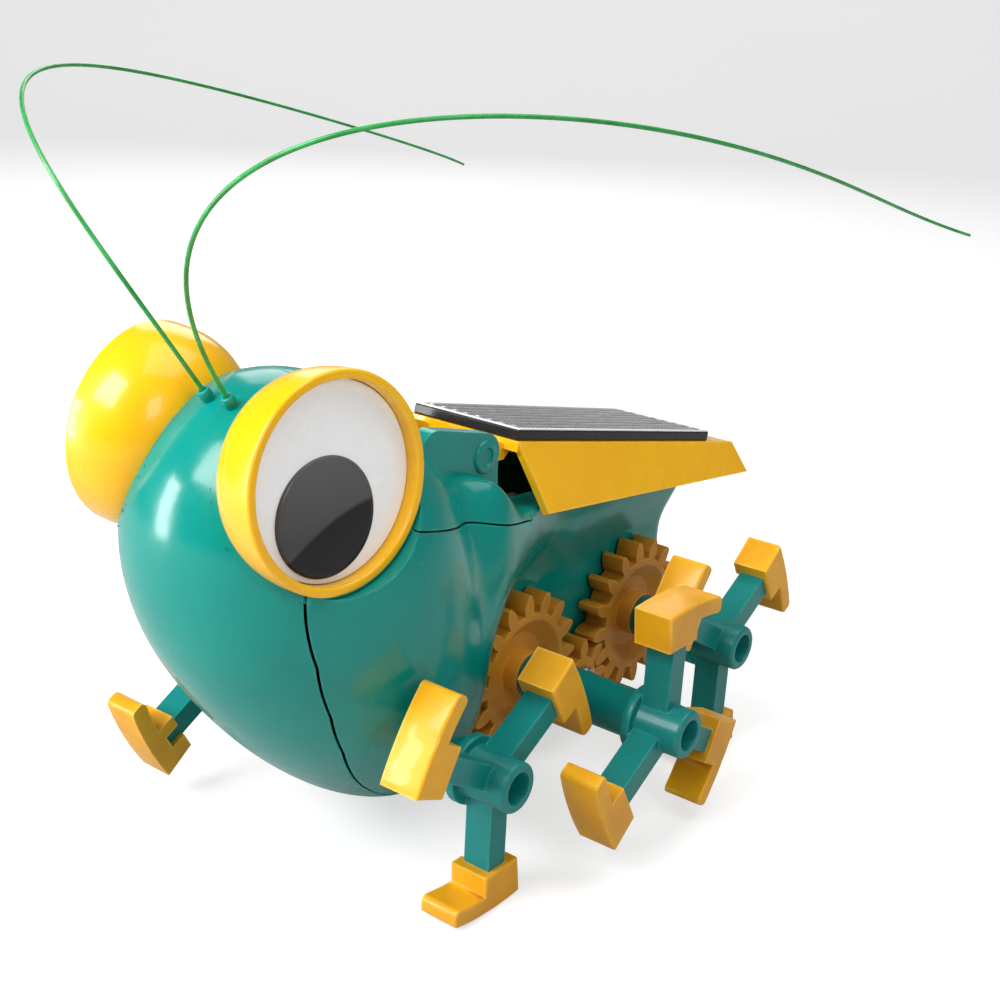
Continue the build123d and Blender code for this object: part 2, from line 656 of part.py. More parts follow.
def motor_can():
    can = disc(*MOTOR, MOTOR_R, *MOTOR_Y)
    can = fillet(can.edges().group_by(Axis.Y)[-1], 0.8)
    can += disc(*MOTOR, MOTOR_BOSS_R, MOTOR_Y[1], -PLATE_Y[0])
    inner = disc(*MOTOR, MOTOR_R - 0.6, MOTOR_Y[0], MOTOR_Y[1] - 0.6)
    return can - inner - disc(*MOTOR, ROTOR_SHAFT_R + RUNNING_GAP, MOTOR_Y[0], 0)


def motor_end_cap():
    cap = disc(*MOTOR, MOTOR_R - 0.6, MOTOR_Y[0], MOTOR_Y[0] + 1.2)
    cap -= disc(*MOTOR, ROTOR_SHAFT_R + RUNNING_GAP, MOTOR_Y[0], MOTOR_Y[0] + 1.2)
    for z_shift in (-4.0, 4.0):
        x, z = MOTOR[0], MOTOR[1] + z_shift
        cap += block((x - 0.8, x + 0.8), (MOTOR_Y[0] - 1.2, MOTOR_Y[0]), (z - 0.25, z + 0.25))
    return cap


def motor_rotor():
    """Wound rotor on its shaft."""
    shaft = disc(*MOTOR, ROTOR_SHAFT_R, MOTOR_Y[0] + 0.2, PLANE_MID[1])
    core = disc(*MOTOR, 5.2, MOTOR_Y[0] + 2.0, MOTOR_Y[1] - 1.4)
    slots = []
    for index in range(3):
        place = outward(MOTOR, 5.0, 90 + 120 * index)
        slots.append(disc(*place, 1.0, MOTOR_Y[0], MOTOR_Y[1]))
    return shaft + (core - slots)


def motor_magnets():
    """Two curved magnets inside the can."""
    ring = disc(*MOTOR, MOTOR_R - 0.6, MOTOR_Y[0] + 1.8, MOTOR_Y[1] - 1.2)
    ring -= disc(*MOTOR, 5.8, MOTOR_Y[0], MOTOR_Y[1])
    x, z = MOTOR
    ring -= block((x - 2.0, x + 2.0), MOTOR_Y, (z - 10, z + 10))
    return group([ring])


def motor_pinion():
    pinion = gear(FIRST_MODULE, PINION_TEETH, MOTOR_PINION_PHASE, MOTOR, PLANE_MID)
    return pinion - disc(*MOTOR, ROTOR_SHAFT_R, -10, 10)


# ---------------------------------------------------------------- eyes and antennas
def eye_cup(side):
    cup = cup_outer()
    cup = fillet(cup.edges().filter_by(GeomType.CIRCLE).group_by(Axis.Z)[-1], 0.7)
    recess_r = EYE_HOLE_R
    cup -= Pos(0, 0, -EYE_RECESS / 2) * Cylinder(recess_r, EYE_RECESS)
    inner = [
        Line((0, -EYE_RECESS - EYE_WALL), (recess_r - 0.8, -EYE_RECESS - EYE_WALL)),
        Line((recess_r - 0.8, -EYE_RECESS - EYE_WALL), (recess_r - 0.8, -EYE_BAND)),
        EllipticalCenterArc((0, -EYE_BAND), recess_r - 0.8, EYE_DOME - EYE_WALL, 270, arc_size=90),
        Line((0, -EYE_BAND - EYE_DOME + EYE_WALL), (0, -EYE_RECESS - EYE_WALL)),
    ]
    cup -= revolve(Plane.XZ * Face(Wire(inner)), Axis.Z, 360)
    return sided(eye_location() * cup, side)


def eye_white(side):
    """Slightly domed white disc seated in the cup."""
    disc_shape = Pos(0, 0, -EYE_RECESS + 0.5) * Cylinder(EYE_HOLE_R, 1.0)
    return sided(eye_location() * disc_shape, side)


def pupil(side):
    shape = Pos(PUPIL_OFFSET[0], PUPIL_OFFSET[1], -EYE_RECESS + 1.0 + 0.5) * Cylinder(PUPIL_R, 1.0)
    shape = fillet(shape.edges().filter_by(GeomType.CIRCLE).group_by(Axis.Z)[-1], 0.5)
    return sided(eye_location() * shape, side)


def antenna(side):
    path = Bezier(*ANTENNA_POINTS)
    start = path @ 0
    direction = path % 0
    whip = sweep(Plane(origin=start, z_dir=direction) * Circle(ANTENNA_R), path)
    root_length = 4.0
    root = Plane(origin=start - direction * root_length, z_dir=direction) * Circle(ANTENNA_R)
    return sided(extrude(root, amount=root_length) + whip, side)


# ---------------------------------------------------------------- wing and solar panel
def wing_frame():
    """Frame of the wing: x back along the slope, y to the right, z up out of its top face."""
    slope = math.radians(WING_SLOPE)
    back = (-math.cos(slope), 0, -math.sin(slope))
    up = (-math.sin(slope), 0, math.cos(slope))
    return Plane(origin=(WING_FRONT[0], 0, WING_FRONT[1]), x_dir=back, z_dir=up)


def flap():
    """Side flap: a flat plate that leans out from the wing's side edge."""
    rear_y = WING_HALF_WIDTH + FLAP_SPLAY * FLAP_REAR[1]
    front_y = WING_HALF_WIDTH + FLAP_SPLAY * FLAP_FRONT[1]
    corners = [
        Vector(0, WING_HALF_WIDTH, 0), Vector(WING_LENGTH, WING_HALF_WIDTH, 0),
        Vector(FLAP_REAR[0], rear_y, -FLAP_REAR[1]), Vector(FLAP_FRONT[0], front_y, -FLAP_FRONT[1]),
    ]
    face = Face(Wire(Polyline(*corners, corners[0]).edges()))
    inward = Vector(0, -1, -FLAP_SPLAY).normalized()
    return extrude(face, amount=FLAP_T, dir=inward)


def wing_cover():
    top = block((0, WING_LENGTH), (-WING_HALF_WIDTH, WING_HALF_WIDTH), (-WING_T, 0))
    side = flap()
    wing = top + side + mirror(side, about=Plane.XZ)
    wing = wing_frame().location * wing
    arm_outline = Polyline(
        (WING_FRONT[0] - 2.0, WING_FRONT[1] - 1.9), (WING_FRONT[0] + 1.0, WING_FRONT[1] - 0.4),
        (HINGE[0] - 1.0, HINGE[1] + 2.6), (HINGE[0] + 2.6, HINGE[1] + 0.6), (HINGE[0] + 1.8, HINGE[1] - 2.4),
        (WING_FRONT[0], WING_FRONT[1] - 3.4), (WING_FRONT[0] - 2.0, WING_FRONT[1] - 1.9),
    )
    arm = slab(Face(Wire(arm_outline.edges())), *ARM_Y)
    peg = disc(*HINGE, HINGE_PEG_R, ARM_Y[1], PEG_END_Y)
    arm += peg
    return wing + arm + mirrored(arm)


def solar_panel_board():
    panel_x = (PANEL_START, PANEL_START + PANEL_LENGTH)
    board = block(panel_x, (-PANEL_HALF_WIDTH, PANEL_HALF_WIDTH), (0, PANEL_T))
    board = chamfer(board.edges().group_by(Axis.Z)[-1], 0.2)
    for strip in cell_strips():
        board -= strip
    return wing_frame().location * board


def cell_strips():
    """Silicon strips let into the panel's top face, along its length."""
    margin = 1.3
    gap = 0.35
    field = 2 * (PANEL_HALF_WIDTH - margin)
    width = (field - gap * (CELL_COUNT - 1)) / CELL_COUNT
    strips = []
    for index in range(CELL_COUNT):
        low = -PANEL_HALF_WIDTH + margin + index * (width + gap)
        x_range = (PANEL_START + margin, PANEL_START + PANEL_LENGTH - margin)
        strips.append(block(x_range, (low, low + width), (PANEL_T - CELL_T, PANEL_T)))
    return strips


def solar_cells():
    return group([wing_frame().location * strip for strip in cell_strips()])


# ---------------------------------------------------------------- all nodes
def build_nodes():
    nodes = {}
    nodes["face_shell"] = face_shell()
    nodes["top_cover"] = top_cover()
    nodes["shell_screws"] = shell_screws()
    nodes["axle_bushes"] = axle_bushes()
    nodes["gear_pins"] = gear_pins()
    nodes["frame_spacers"] = frame_spacers()
    nodes["motor_can"] = motor_can()
    nodes["motor_end_cap"] = motor_end_cap()
    nodes["motor_magnets"] = motor_magnets()
    nodes["motor_rotor"] = motor_rotor()
    nodes["motor_pinion"] = motor_pinion()
    nodes["first_reduction_gear"] = first_reduction_gear()
    nodes["second_reduction_gear"] = second_reduction_gear()
    nodes["third_reduction_gear"] = third_reduction_gear()
    nodes["inner_idler_gear"] = inner_idler_gear()
    nodes["middle_axle_gear"] = axle_gear(MIDDLE, 0.0)
    nodes["front_axle_gear"] = axle_gear(FRONT, FRONT_GEAR_PHASE)
    nodes["wing_cover"] = wing_cover()
    nodes["solar_panel_board"] = solar_panel_board()
    nodes["solar_cells"] = solar_cells()
    for row in AXLES:
        nodes[row + "_axle"] = axle(row)
    for side in ("left", "right"):
        nodes[side + "_side_shell"] = side_shell(side)
        nodes[side + "_frame_plate"] = frame_plate(side)
        nodes[side + "_eye_cup"] = eye_cup(side)
        nodes[side + "_eye_white"] = eye_white(side)
        nodes[side + "_pupil"] = pupil(side)
        nodes[side + "_antenna"] = antenna(side)
        nodes[side + "_idler_pin"] = idler_pin(side)
        nodes[side + "_idler_gear"] = idler_gear(side)
        nodes[side + "_middle_leg_gear"] = sided(leg_gear(MIDDLE, MIDDLE_LEG_PHASE, AXLE_R), side)
        nodes[side + "_rear_leg_gear"] = sided(leg_gear(REAR, REAR_LEG_PHASE, AXLE_R), side)
        for row in AXLES:
            nodes[side + "_" + row + "_leg"] = leg_star(row, side)
            nodes[side + "_" + row + "_boots"] = boots(row, side)
    antenna_roots = nodes["left_antenna"] + nodes["right_antenna"]
    nodes["face_shell"] -= antenna_roots
    return nodes


HALF_SHELL = half_shell()
os.makedirs("parts", exist_ok=True)
for node_name, node_shape in build_nodes().items():
    export_step(Pos(MIDDLE_AXLE_X, 0, 0) * node_shape, "parts/" + node_name + ".step")
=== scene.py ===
import json
import math

import bmesh
import bpy
import numpy as np
from mathutils import Matrix, Vector


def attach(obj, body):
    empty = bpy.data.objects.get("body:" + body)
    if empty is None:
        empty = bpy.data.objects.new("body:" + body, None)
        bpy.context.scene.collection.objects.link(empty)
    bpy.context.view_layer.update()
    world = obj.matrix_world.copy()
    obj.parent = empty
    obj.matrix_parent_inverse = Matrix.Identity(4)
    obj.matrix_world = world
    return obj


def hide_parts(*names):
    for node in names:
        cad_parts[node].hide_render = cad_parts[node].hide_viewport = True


# Solar walking insect kit. Sizes below are in millimetres, with x measured from the middle axle.
# MM turns them into the frame's metres.
MM = 0.001

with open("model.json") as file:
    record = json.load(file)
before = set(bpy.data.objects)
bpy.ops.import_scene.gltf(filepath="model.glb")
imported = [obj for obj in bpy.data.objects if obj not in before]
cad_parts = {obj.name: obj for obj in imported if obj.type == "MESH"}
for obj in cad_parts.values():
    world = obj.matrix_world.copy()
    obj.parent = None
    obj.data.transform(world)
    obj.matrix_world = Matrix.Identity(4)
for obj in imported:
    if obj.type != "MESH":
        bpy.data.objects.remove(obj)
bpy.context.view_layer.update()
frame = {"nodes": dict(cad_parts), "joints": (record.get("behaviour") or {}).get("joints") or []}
JOINTS = {joint["name"]: joint for joint in frame["joints"]}
X0 = JOINTS["middle_axle_spin"]["pos_m"][0] / MM
AXLE_Z = JOINTS["middle_axle_spin"]["pos_m"][2] / MM
REAR_X = JOINTS["rear_axle_spin"]["pos_m"][0] / MM - X0
IDLER_X = JOINTS["left_idler_spin"]["pos_m"][0] / MM - X0
IDLER_Z = JOINTS["left_idler_spin"]["pos_m"][2] / MM
HINGE_X = JOINTS["wing_hinge"]["pos_m"][0] / MM - X0
HINGE_Z = JOINTS["wing_hinge"]["pos_m"][2] / MM


def point(x, y, z):
    """A place in millimetres from the middle axle, as metres in the frame."""
    return Vector(((x + X0) * MM, y * MM, z * MM))


# ---------------------------------------------------------------- materials
class Nodes:
    """Short names for the calls that build a node tree."""

    def __init__(self, name):
        self.material = bpy.data.materials.new(name)
        self.material.use_nodes = True
        self.tree = self.material.node_tree
        self.shader = self.tree.nodes["Principled BSDF"]
        self.place = self.add("ShaderNodeTexCoord").outputs["Object"]

    def add(self, kind, **values):
        node = self.tree.nodes.new(kind)
        for key, value in values.items():
            setattr(node, key, value)
        return node

    def link(self, output, node_input):
        self.tree.links.new(output, node_input)

    def value(self, source, node_input):
        if isinstance(source, (int, float, tuple)):
            node_input.default_value = source
        else:
            self.link(source, node_input)

    def noise(self, scale, detail=2.0, roughness=0.5, stretch=None):
        node = self.add("ShaderNodeTexNoise")
        node.inputs["Scale"].default_value = scale
        node.inputs["Detail"].default_value = detail
        node.inputs["Roughness"].default_value = roughness
        place = self.place
        if stretch:
            mapping = self.add("ShaderNodeMapping")
            mapping.inputs["Scale"].default_value = stretch
            self.link(self.place, mapping.inputs["Vector"])
            place = mapping.outputs["Vector"]
        self.link(place, node.inputs["Vector"])
        return node.outputs["Fac"]

    def ramp(self, source, low, high, out_low=0.0, out_high=1.0):
        node = self.add("ShaderNodeMapRange")
        self.link(source, node.inputs["Value"])
        node.inputs["From Min"].default_value = low
        node.inputs["From Max"].default_value = high
        node.inputs["To Min"].default_value = out_low
        node.inputs["To Max"].default_value = out_high
        return node.outputs["Result"]

    def mix(self, factor, first, second):
        node = self.add("ShaderNodeMix", data_type="RGBA")
        self.value(factor, node.inputs[0])
        self.value(first, node.inputs[6])
        self.value(second, node.inputs[7])
        return node.outputs[2]

    def math(self, operation, first, second=0.0):
        node = self.add("ShaderNodeMath", operation=operation)
        self.value(first, node.inputs[0])
        self.value(second, node.inputs[1])
        return node.outputs[0]

    def edge_mask(self, radius):
        """1 on sharp outer edges and corners, 0 on open faces."""
        bevel = self.add("ShaderNodeBevel", samples=4)
        bevel.inputs["Radius"].default_value = radius
        geometry = self.add("ShaderNodeNewGeometry")
        dot = self.add("ShaderNodeVectorMath", operation="DOT_PRODUCT")
        self.link(bevel.outputs["Normal"], dot.inputs[0])
        self.link(geometry.outputs["Normal"], dot.inputs[1])
        return self.ramp(dot.outputs["Value"], 0.985, 0.80)

    def bump(self, height, strength, distance, base=None):
        node = self.add("ShaderNodeBump")
        node.inputs["Strength"].default_value = strength
        node.inputs["Distance"].default_value = distance
        self.link(height, node.inputs["Height"])
        if base is not None:
            self.link(base, node.inputs["Normal"])
        return node.outputs["Normal"]


def rgb(red, green, blue):
    return (red, green, blue, 1.0)


def moulded_plastic(name, colour, shade, wear_and_highlight, roughness, grain=0.25, coat=0.3, mottle=0.5):
    """Injection-moulded plastic: flow mottling, fine grain, light handling scratches, and edges painted
    paler as wear and as a painted highlight.
    """
    n = Nodes(name)
    flow = n.ramp(n.noise(55.0, 4.0, 0.55), 0.38, 0.66)
    tone = n.mix(n.math("MULTIPLY", flow, mottle), colour, shade)
    dust = n.ramp(n.noise(900.0, 3.0, 0.7), 0.62, 0.75, 0.0, 0.06)
    tone = n.mix(dust, tone, wear_and_highlight)
    # Painted edge highlight, partly wear: edges and corners turn towards the pale highlight colour in
    # noisy patches.
    edge = n.edge_mask(0.0007)
    rubbed_and_highlight = n.math("MULTIPLY", edge, n.ramp(n.noise(420.0, 3.0, 0.6), 0.35, 0.62, 0.15, 0.75))
    n.link(n.mix(rubbed_and_highlight, tone, wear_and_highlight), n.shader.inputs["Base Color"])
    scratch = n.ramp(n.noise(700.0, 2.0, 0.5, (1.0, 14.0, 0.6)), 0.60, 0.68)
    smear = n.ramp(n.noise(130.0, 3.0, 0.6), 0.35, 0.7, -0.04, 0.07)
    rough = n.math("ADD", n.math("ADD", smear, roughness), n.math("MULTIPLY", scratch, 0.05))
    n.link(n.math("ADD", rough, n.math("MULTIPLY", rubbed_and_highlight, 0.12)), n.shader.inputs["Roughness"])
    ripple = n.bump(n.noise(120.0, 2.0), 0.05, 0.0006)
    fine = n.bump(n.noise(2600.0, 3.0, 0.6), grain * 0.25, 0.00012, ripple)
    n.link(n.bump(scratch, 0.03, 0.00005, fine), n.shader.inputs["Normal"])
    n.shader.inputs["Specular IOR Level"].default_value = 0.30
    n.shader.inputs["Coat Weight"].default_value = coat
    n.shader.inputs["Coat Roughness"].default_value = 0.08
    n.shader.inputs["Subsurface Weight"].default_value = 0.015
    n.shader.inputs["Subsurface Radius"].default_value = (0.002, 0.002, 0.002)
    n.shader.inputs["Subsurface Scale"].default_value = 0.4
    return n.material


def turned_metal(name, colour, roughness):
    """Drawn steel: fine lines round the part, with faint staining."""
    n = Nodes(name)
    stain = n.ramp(n.noise(300.0, 4.0, 0.6), 0.35, 0.7)
    dark = tuple(0.62 * channel for channel in colour[:3]) + (1.0,)
    n.link(n.mix(n.math("MULTIPLY", stain, 0.5), colour, dark), n.shader.inputs["Base Color"])
    lines = n.noise(1500.0, 2.0, 0.6, (1.0, 0.05, 1.0))
    n.link(n.ramp(lines, 0.3, 0.7, roughness - 0.06, roughness + 0.1), n.shader.inputs["Roughness"])
    n.link(n.bump(lines, 0.12, 0.00004), n.shader.inputs["Normal"])
    n.shader.inputs["Metallic"].default_value = 1.0
    return n.material


# Centre of the pupil in metres, where its painted reflection is placed.
PUPIL_X = 0.05286
PUPIL_Z = 0.06212


def pupil_with_painted_reflection():
    """Glossy black disc with a painted reflection: its upper part, behind a curved edge, is a lighter
    grey that brightens towards the top.
    """
    n = Nodes("pupil_black_painted_reflection")
    split = n.add("ShaderNodeSeparateXYZ")
    n.link(n.place, split.inputs[0])
    along = n.math("SUBTRACT", split.outputs["X"], PUPIL_X)
    up = n.math("SUBTRACT", split.outputs["Z"], PUPIL_Z)
    bow = n.math("MULTIPLY", n.math("MULTIPLY", along, along), 26.0)
    height = n.math("ADD", up, n.math("ADD", n.math("MULTIPLY", along, 0.42), bow))
    # Painted reflection: above the curved edge the disc turns grey, lighter towards the top.
    above = n.ramp(height, -0.0009, -0.0003)
    fade = n.ramp(up, -0.002, 0.0085, 0.055, 0.12)
    grey = n.add("ShaderNodeCombineXYZ")
    for index in range(3):
        n.link(fade, grey.inputs[index])
    n.link(n.mix(above, rgb(0.006, 0.006, 0.007), grey.outputs[0]), n.shader.inputs["Base Color"])
    n.link(n.ramp(n.noise(500.0, 3.0), 0.3, 0.7, 0.16, 0.26), n.shader.inputs["Roughness"])
    n.link(n.bump(n.noise(1800.0, 2.0), 0.04, 0.00005), n.shader.inputs["Normal"])
    n.shader.inputs["Specular IOR Level"].default_value = 0.25
    n.shader.inputs["Coat Weight"].default_value = 0.1
    return n.material


def cell_material():
    """Silicon strip: crystal flecks, fine metal fingers across it and a clear lacquer."""
    n = Nodes("solar_cell_silicon")
    crystal = n.add("ShaderNodeTexVoronoi")
    crystal.inputs["Scale"].default_value = 900.0
    n.link(n.place, crystal.inputs["Vector"])
    fleck = n.ramp(crystal.outputs["Distance"], 0.0, 0.8)
    base = n.mix(fleck, rgb(0.12, 0.125, 0.14), rgb(0.28, 0.285, 0.30))
    split = n.add("ShaderNodeSeparateXYZ")
    n.link(n.place, split.inputs[0])
    step = n.math("FRACT", n.math("MULTIPLY", split.outputs["X"], 1.0 / 0.00125))
    finger = n.math("LESS_THAN", step, 0.14)
    n.link(n.mix(finger, base, rgb(0.72, 0.73, 0.74)), n.shader.inputs["Base Color"])
    n.link(n.ramp(n.noise(700.0, 3.0), 0.3, 0.7, 0.16, 0.3), n.shader.inputs["Roughness"])
    n.link(n.bump(finger, 0.2, 0.00004), n.shader.inputs["Normal"])
    n.shader.inputs["Metallic"].default_value = 0.25
    n.shader.inputs["Coat Weight"].default_value = 0.8
    n.shader.inputs["Coat Roughness"].default_value = 0.05
    return n.material


def whip_material():
    """Green coated wire, its tint varying at random in small patches."""
    n = Nodes("whip_green")
    tint = n.ramp(n.noise(220.0, 3.0, 0.6), 0.35, 0.65)
    n.link(n.mix(tint, rgb(0.012, 0.23, 0.035), rgb(0.03, 0.36, 0.08)), n.shader.inputs["Base Color"])
    n.link(n.ramp(n.noise(1500.0, 2.0), 0.3, 0.7, 0.22, 0.38), n.shader.inputs["Roughness"])
    n.link(n.bump(n.noise(3000.0, 2.0), 0.1, 0.00004), n.shader.inputs["Normal"])
    return n.material


# The third colour of each plastic is its pale colour for dust specks, wear and the painted edge
# highlight.
TEAL = moulded_plastic("teal_gloss_plastic", rgb(0.0, 0.245, 0.205), rgb(0.0, 0.190, 0.160),
                        rgb(0.02, 0.36, 0.305), 0.2, coat=0.12)
TEAL_LEG = moulded_plastic("teal_leg_plastic", rgb(0.001, 0.190, 0.175), rgb(0.001, 0.125, 0.117),
                           rgb(0.04, 0.36, 0.32), 0.34, 0.6, 0.12)
YELLOW = moulded_plastic("yellow_gloss_plastic", rgb(0.93, 0.49, 0.002), rgb(0.87, 0.40, 0.002),
                         rgb(1.0, 0.68, 0.10), 0.25, 0.2, 0.35, 0.6)
BOOT = moulded_plastic("boot_yellow_plastic", rgb(0.78, 0.38, 0.006), rgb(0.54, 0.22, 0.005),
                       rgb(1.0, 0.68, 0.16), 0.38, 0.8, 0.15, 0.75)
GEAR = moulded_plastic("gear_ochre_plastic", rgb(0.60, 0.255, 0.018), rgb(0.42, 0.155, 0.012),
                       rgb(0.88, 0.46, 0.08), 0.44, 0.9, 0.05, 0.8)
WHITE = moulded_plastic("eye_white_plastic", rgb(0.93, 0.935, 0.94), rgb(0.89, 0.90, 0.905),
                        rgb(0.96, 0.96, 0.96), 0.28, 0.15, 0.2, 0.3)
DARK = moulded_plastic("frame_grey_plastic", rgb(0.035, 0.04, 0.045), rgb(0.02, 0.022, 0.025),
                       rgb(0.12, 0.12, 0.13), 0.5, 0.9, 0.0)
BOARD = moulded_plastic("panel_black_lacquer", rgb(0.004, 0.004, 0.005), rgb(0.008, 0.008, 0.009),
                         rgb(0.03, 0.03, 0.033), 0.3, 0.1, 0.1)
BORDER = moulded_plastic("panel_white_print", rgb(0.80, 0.81, 0.82), rgb(0.70, 0.71, 0.73),
                         rgb(0.9, 0.9, 0.9), 0.35, 0.3, 0.2)
STEEL = turned_metal("drawn_steel", rgb(0.62, 0.62, 0.64), 0.28)
MAGNET = turned_metal("magnet_grey", rgb(0.12, 0.12, 0.13), 0.5)
SOLDER = turned_metal("tinned_solder", rgb(0.75, 0.75, 0.76), 0.3)
CELL = cell_material()
WHIP = whip_material()
PUPIL = pupil_with_painted_reflection()


# ---------------------------------------------------------------- mesh helpers
def finish_piece(obj, material, body, slot, *nodes):
    obj.data.materials.clear()
    obj.data.materials.append(material)
    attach(obj, body)
    if nodes:
        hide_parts(*nodes)
    return obj


def new_object(name, mesh):
    obj = bpy.data.objects.new(name, mesh)
    bpy.context.scene.collection.objects.link(obj)
    return obj


def mesh_from(name, verts, faces):
    """verts are millimetres from the middle axle."""
    mesh = bpy.data.meshes.new(name)
    mesh.from_pydata([point(*vert) for vert in verts], [], faces)
    mesh.validate()
    return mesh


def shade(obj, angle=35.0):
    obj.data.polygons.foreach_set("use_smooth", [True] * len(obj.data.polygons))
    obj.data.set_sharp_from_angle(angle=math.radians(angle))


def bevel(obj, width, segments=2, angle=35.0):
    modifier = obj.modifiers.new("bevel", "BEVEL")
    modifier.width = width * MM
    modifier.segments = segments
    modifier.limit_method = "ANGLE"
    modifier.angle_limit = math.radians(angle)
    modifier.harden_normals = True
    return modifier


def apply_modifiers(obj):
    """The object's mesh with its modifiers applied, as plain geometry."""
    graph = bpy.context.evaluated_depsgraph_get()
    graph.update()
    mesh = bpy.data.meshes.new_from_object(obj.evaluated_get(graph), depsgraph=graph)
    obj.modifiers.clear()
    obj.data = mesh
    return obj


def lathe(profile, steps, matrix):
    """Verts and faces of a (radius, height) profile turned about local Z. Radius 0 ends are poles."""
    verts, faces, rings = [], [], []
    for radius, height in profile:
        if radius < 1e-6:
            rings.append([len(verts)])
            verts.append(matrix @ Vector((0, 0, height)))
            continue
        rings.append(list(range(len(verts), len(verts) + steps)))
        for index in range(steps):
            angle = 2 * math.pi * index / steps
            verts.append(matrix @ Vector((radius * math.cos(angle), radius * math.sin(angle), height)))
    for lower, upper in zip(rings, rings[1:]):
        for index in range(steps):
            after = (index + 1) % steps
            if len(lower) == 1 and len(upper) == 1:
                continue
            if len(lower) == 1:
                faces.append((lower[0], upper[after], upper[index]))
            elif len(upper) == 1:
                faces.append((lower[index], lower[after], upper[0]))
            else:
                faces.append((lower[index], lower[after], upper[after], upper[index]))
    return verts, faces


def rounded(points, radius, steps=5):
    """A profile with its inner corners rounded; points are (x, y) or (x, y, own radius)."""
    result = [points[0][:2]]
    for before, here, after in zip(points, points[1:], points[2:]):
        corner = Vector(here[:2])
        reach = here[2] if len(here) > 2 else radius
        back = Vector(before[:2]) - corner
        onward = Vector(after[:2]) - corner
        reach = min(reach, 0.49 * back.length, 0.49 * onward.length)
        if reach < 1e-6:
            result.append(tuple(corner))
            continue
        start = corner + back.normalized() * reach
        end = corner + onward.normalized() * reach
        for step in range(steps + 1):
            t = step / steps
            spot = start * (1 - t) ** 2 + corner * 2 * t * (1 - t) + end * t ** 2
            result.append(tuple(spot))
    result.append(points[-1][:2])
    return result


def fix_normals(mesh):
    work = bmesh.new()
    work.from_mesh(mesh)
    bmesh.ops.recalc_face_normals(work, faces=work.faces)
    work.to_mesh(mesh)
    work.free()


# ---------------------------------------------------------------- body shells
# The head's centre, tilt and half length are rounded results of a fit to the photo.
EGG_CENTRE = (35.0, 39.0)
EGG_TILT = math.radians(58.9)
EGG_TIP = 39.8
EGG_GIRTH = 23.4
EGG_WIDEST = 8.9
LOWER_FULLNESS = 0.5
UPPER_FULLNESS = 0.6
WALL = 1.5
# Half width of the face shell down its height: (height, half width)
FACE_EDGE = ((90.0, 17.5), (42.0, 17.5), (33.0, 16.2), (25.0, 14.1), (0.0, 4.8))
FACE_TOP_X = 44.0
FACE_BELLY_X = 20.0
FACE_STEP_Z = 42.0
COVER_REAR_X = 5.0
SEAM_Z = 48.4
SEAM_SLOPE = 0.27
TAIL_UPPER = 10.9
TAIL_LOWER = 6.6
POCKET_FLOOR = 6.7
GEAR_POCKET_R = 14.4
IDLER_POCKET_R = 8.4
DECK_OPENING = (-43.0, 11.0)
DECK_OPENING_HALF = 7.6
SHOULDER_END = 29.0
HAUNCH_RISE = 7.4
HAUNCH_START = 6.5
HAUNCH_RUN = 11.0
DECK_Z = 50.0
DECK_SLOPE = 3.8 / 54.0
DECK_CORNER_R = 2.8
KEEL_Z = 6.4
KEEL_RISE = 8.6
KEEL_CORNER_R = 3.6
TAIL_REAR_X = -49.0
TAIL_END_R = 4.0
WAIST_TOP = 45.0
WAIST_LOW = 31.0
ARM_SLOT_END = 18.0
ARM_SLOT_HALF = 8.6
# The eye's centre, its turn and its rim radius are rounded results of a fit to the photo.
EYE_CENTRE = (51.8, 18.6, 66.4)
EYE_YAW = math.radians(5.7)
EYE_PITCH = math.radians(5.1)
EYE_RIM_R = 14.3
EYE_HOLE_R = 12.95
CUP_DEPTH = 13.2
EYE_RECESS = 2.1
PUPIL_PLACE = (1.5, 4.1)
PUPIL_R = 7.8
PARTING_GAP = 0.26


def bezier(points, t):
    a, b, c, d = [Vector(p) for p in points]
    return a * (1 - t) ** 3 + b * 3 * t * (1 - t) ** 2 + c * 3 * t * t * (1 - t) + d * t ** 3


def egg_profile(steps):
    """Half outline of the head as (radius, height along its axis)."""
    tip = EGG_TIP
    girth = EGG_GIRTH
    lower_handle = EGG_WIDEST - 0.46 * (tip + EGG_WIDEST)
    upper_handle = EGG_WIDEST + 0.56 * (tip - EGG_WIDEST)
    lower = [(-tip, 0), (-tip, LOWER_FULLNESS * girth), (lower_handle, girth), (EGG_WIDEST, girth)]
    upper = [(EGG_WIDEST, girth), (upper_handle, girth), (tip, UPPER_FULLNESS * girth), (tip, 0)]
    spots = [bezier(lower, step / steps) for step in range(steps + 1)]
    spots += [bezier(upper, step / steps) for step in range(1, steps + 1)]
    return [(max(0.0, spot.y), spot.x) for spot in spots]


def egg_matrix():
    """Local Z along the egg's long axis."""
    axis = Vector((math.cos(EGG_TILT), 0, math.sin(EGG_TILT)))
    side = Vector((0, 1, 0))
    across = side.cross(axis)
    matrix = Matrix((across, side, axis)).transposed().to_4x4()
    matrix.translation = Vector((EGG_CENTRE[0], 0, EGG_CENTRE[1]))
    return matrix


def smooth_step(value):
    value = min(1.0, max(0.0, value))
    return value * value * (3 - 2 * value)


EGG_ALONG = [height for _, height in egg_profile(60)]
EGG_RADII = [radius for radius, _ in egg_profile(60)]


def egg_half_width(x, z):
    """Half width of the head at (x, z); negative outside its outline."""
    dx, dz = x - EGG_CENTRE[0], z - EGG_CENTRE[1]
    along = dx * math.cos(EGG_TILT) + dz * math.sin(EGG_TILT)
    across = dx * math.sin(EGG_TILT) - dz * math.cos(EGG_TILT)
    radius = float(np.interp(along, EGG_ALONG, EGG_RADII, left=0.0, right=0.0))
    square = radius ** 2 - across ** 2
    return math.copysign(math.sqrt(abs(square)), square)


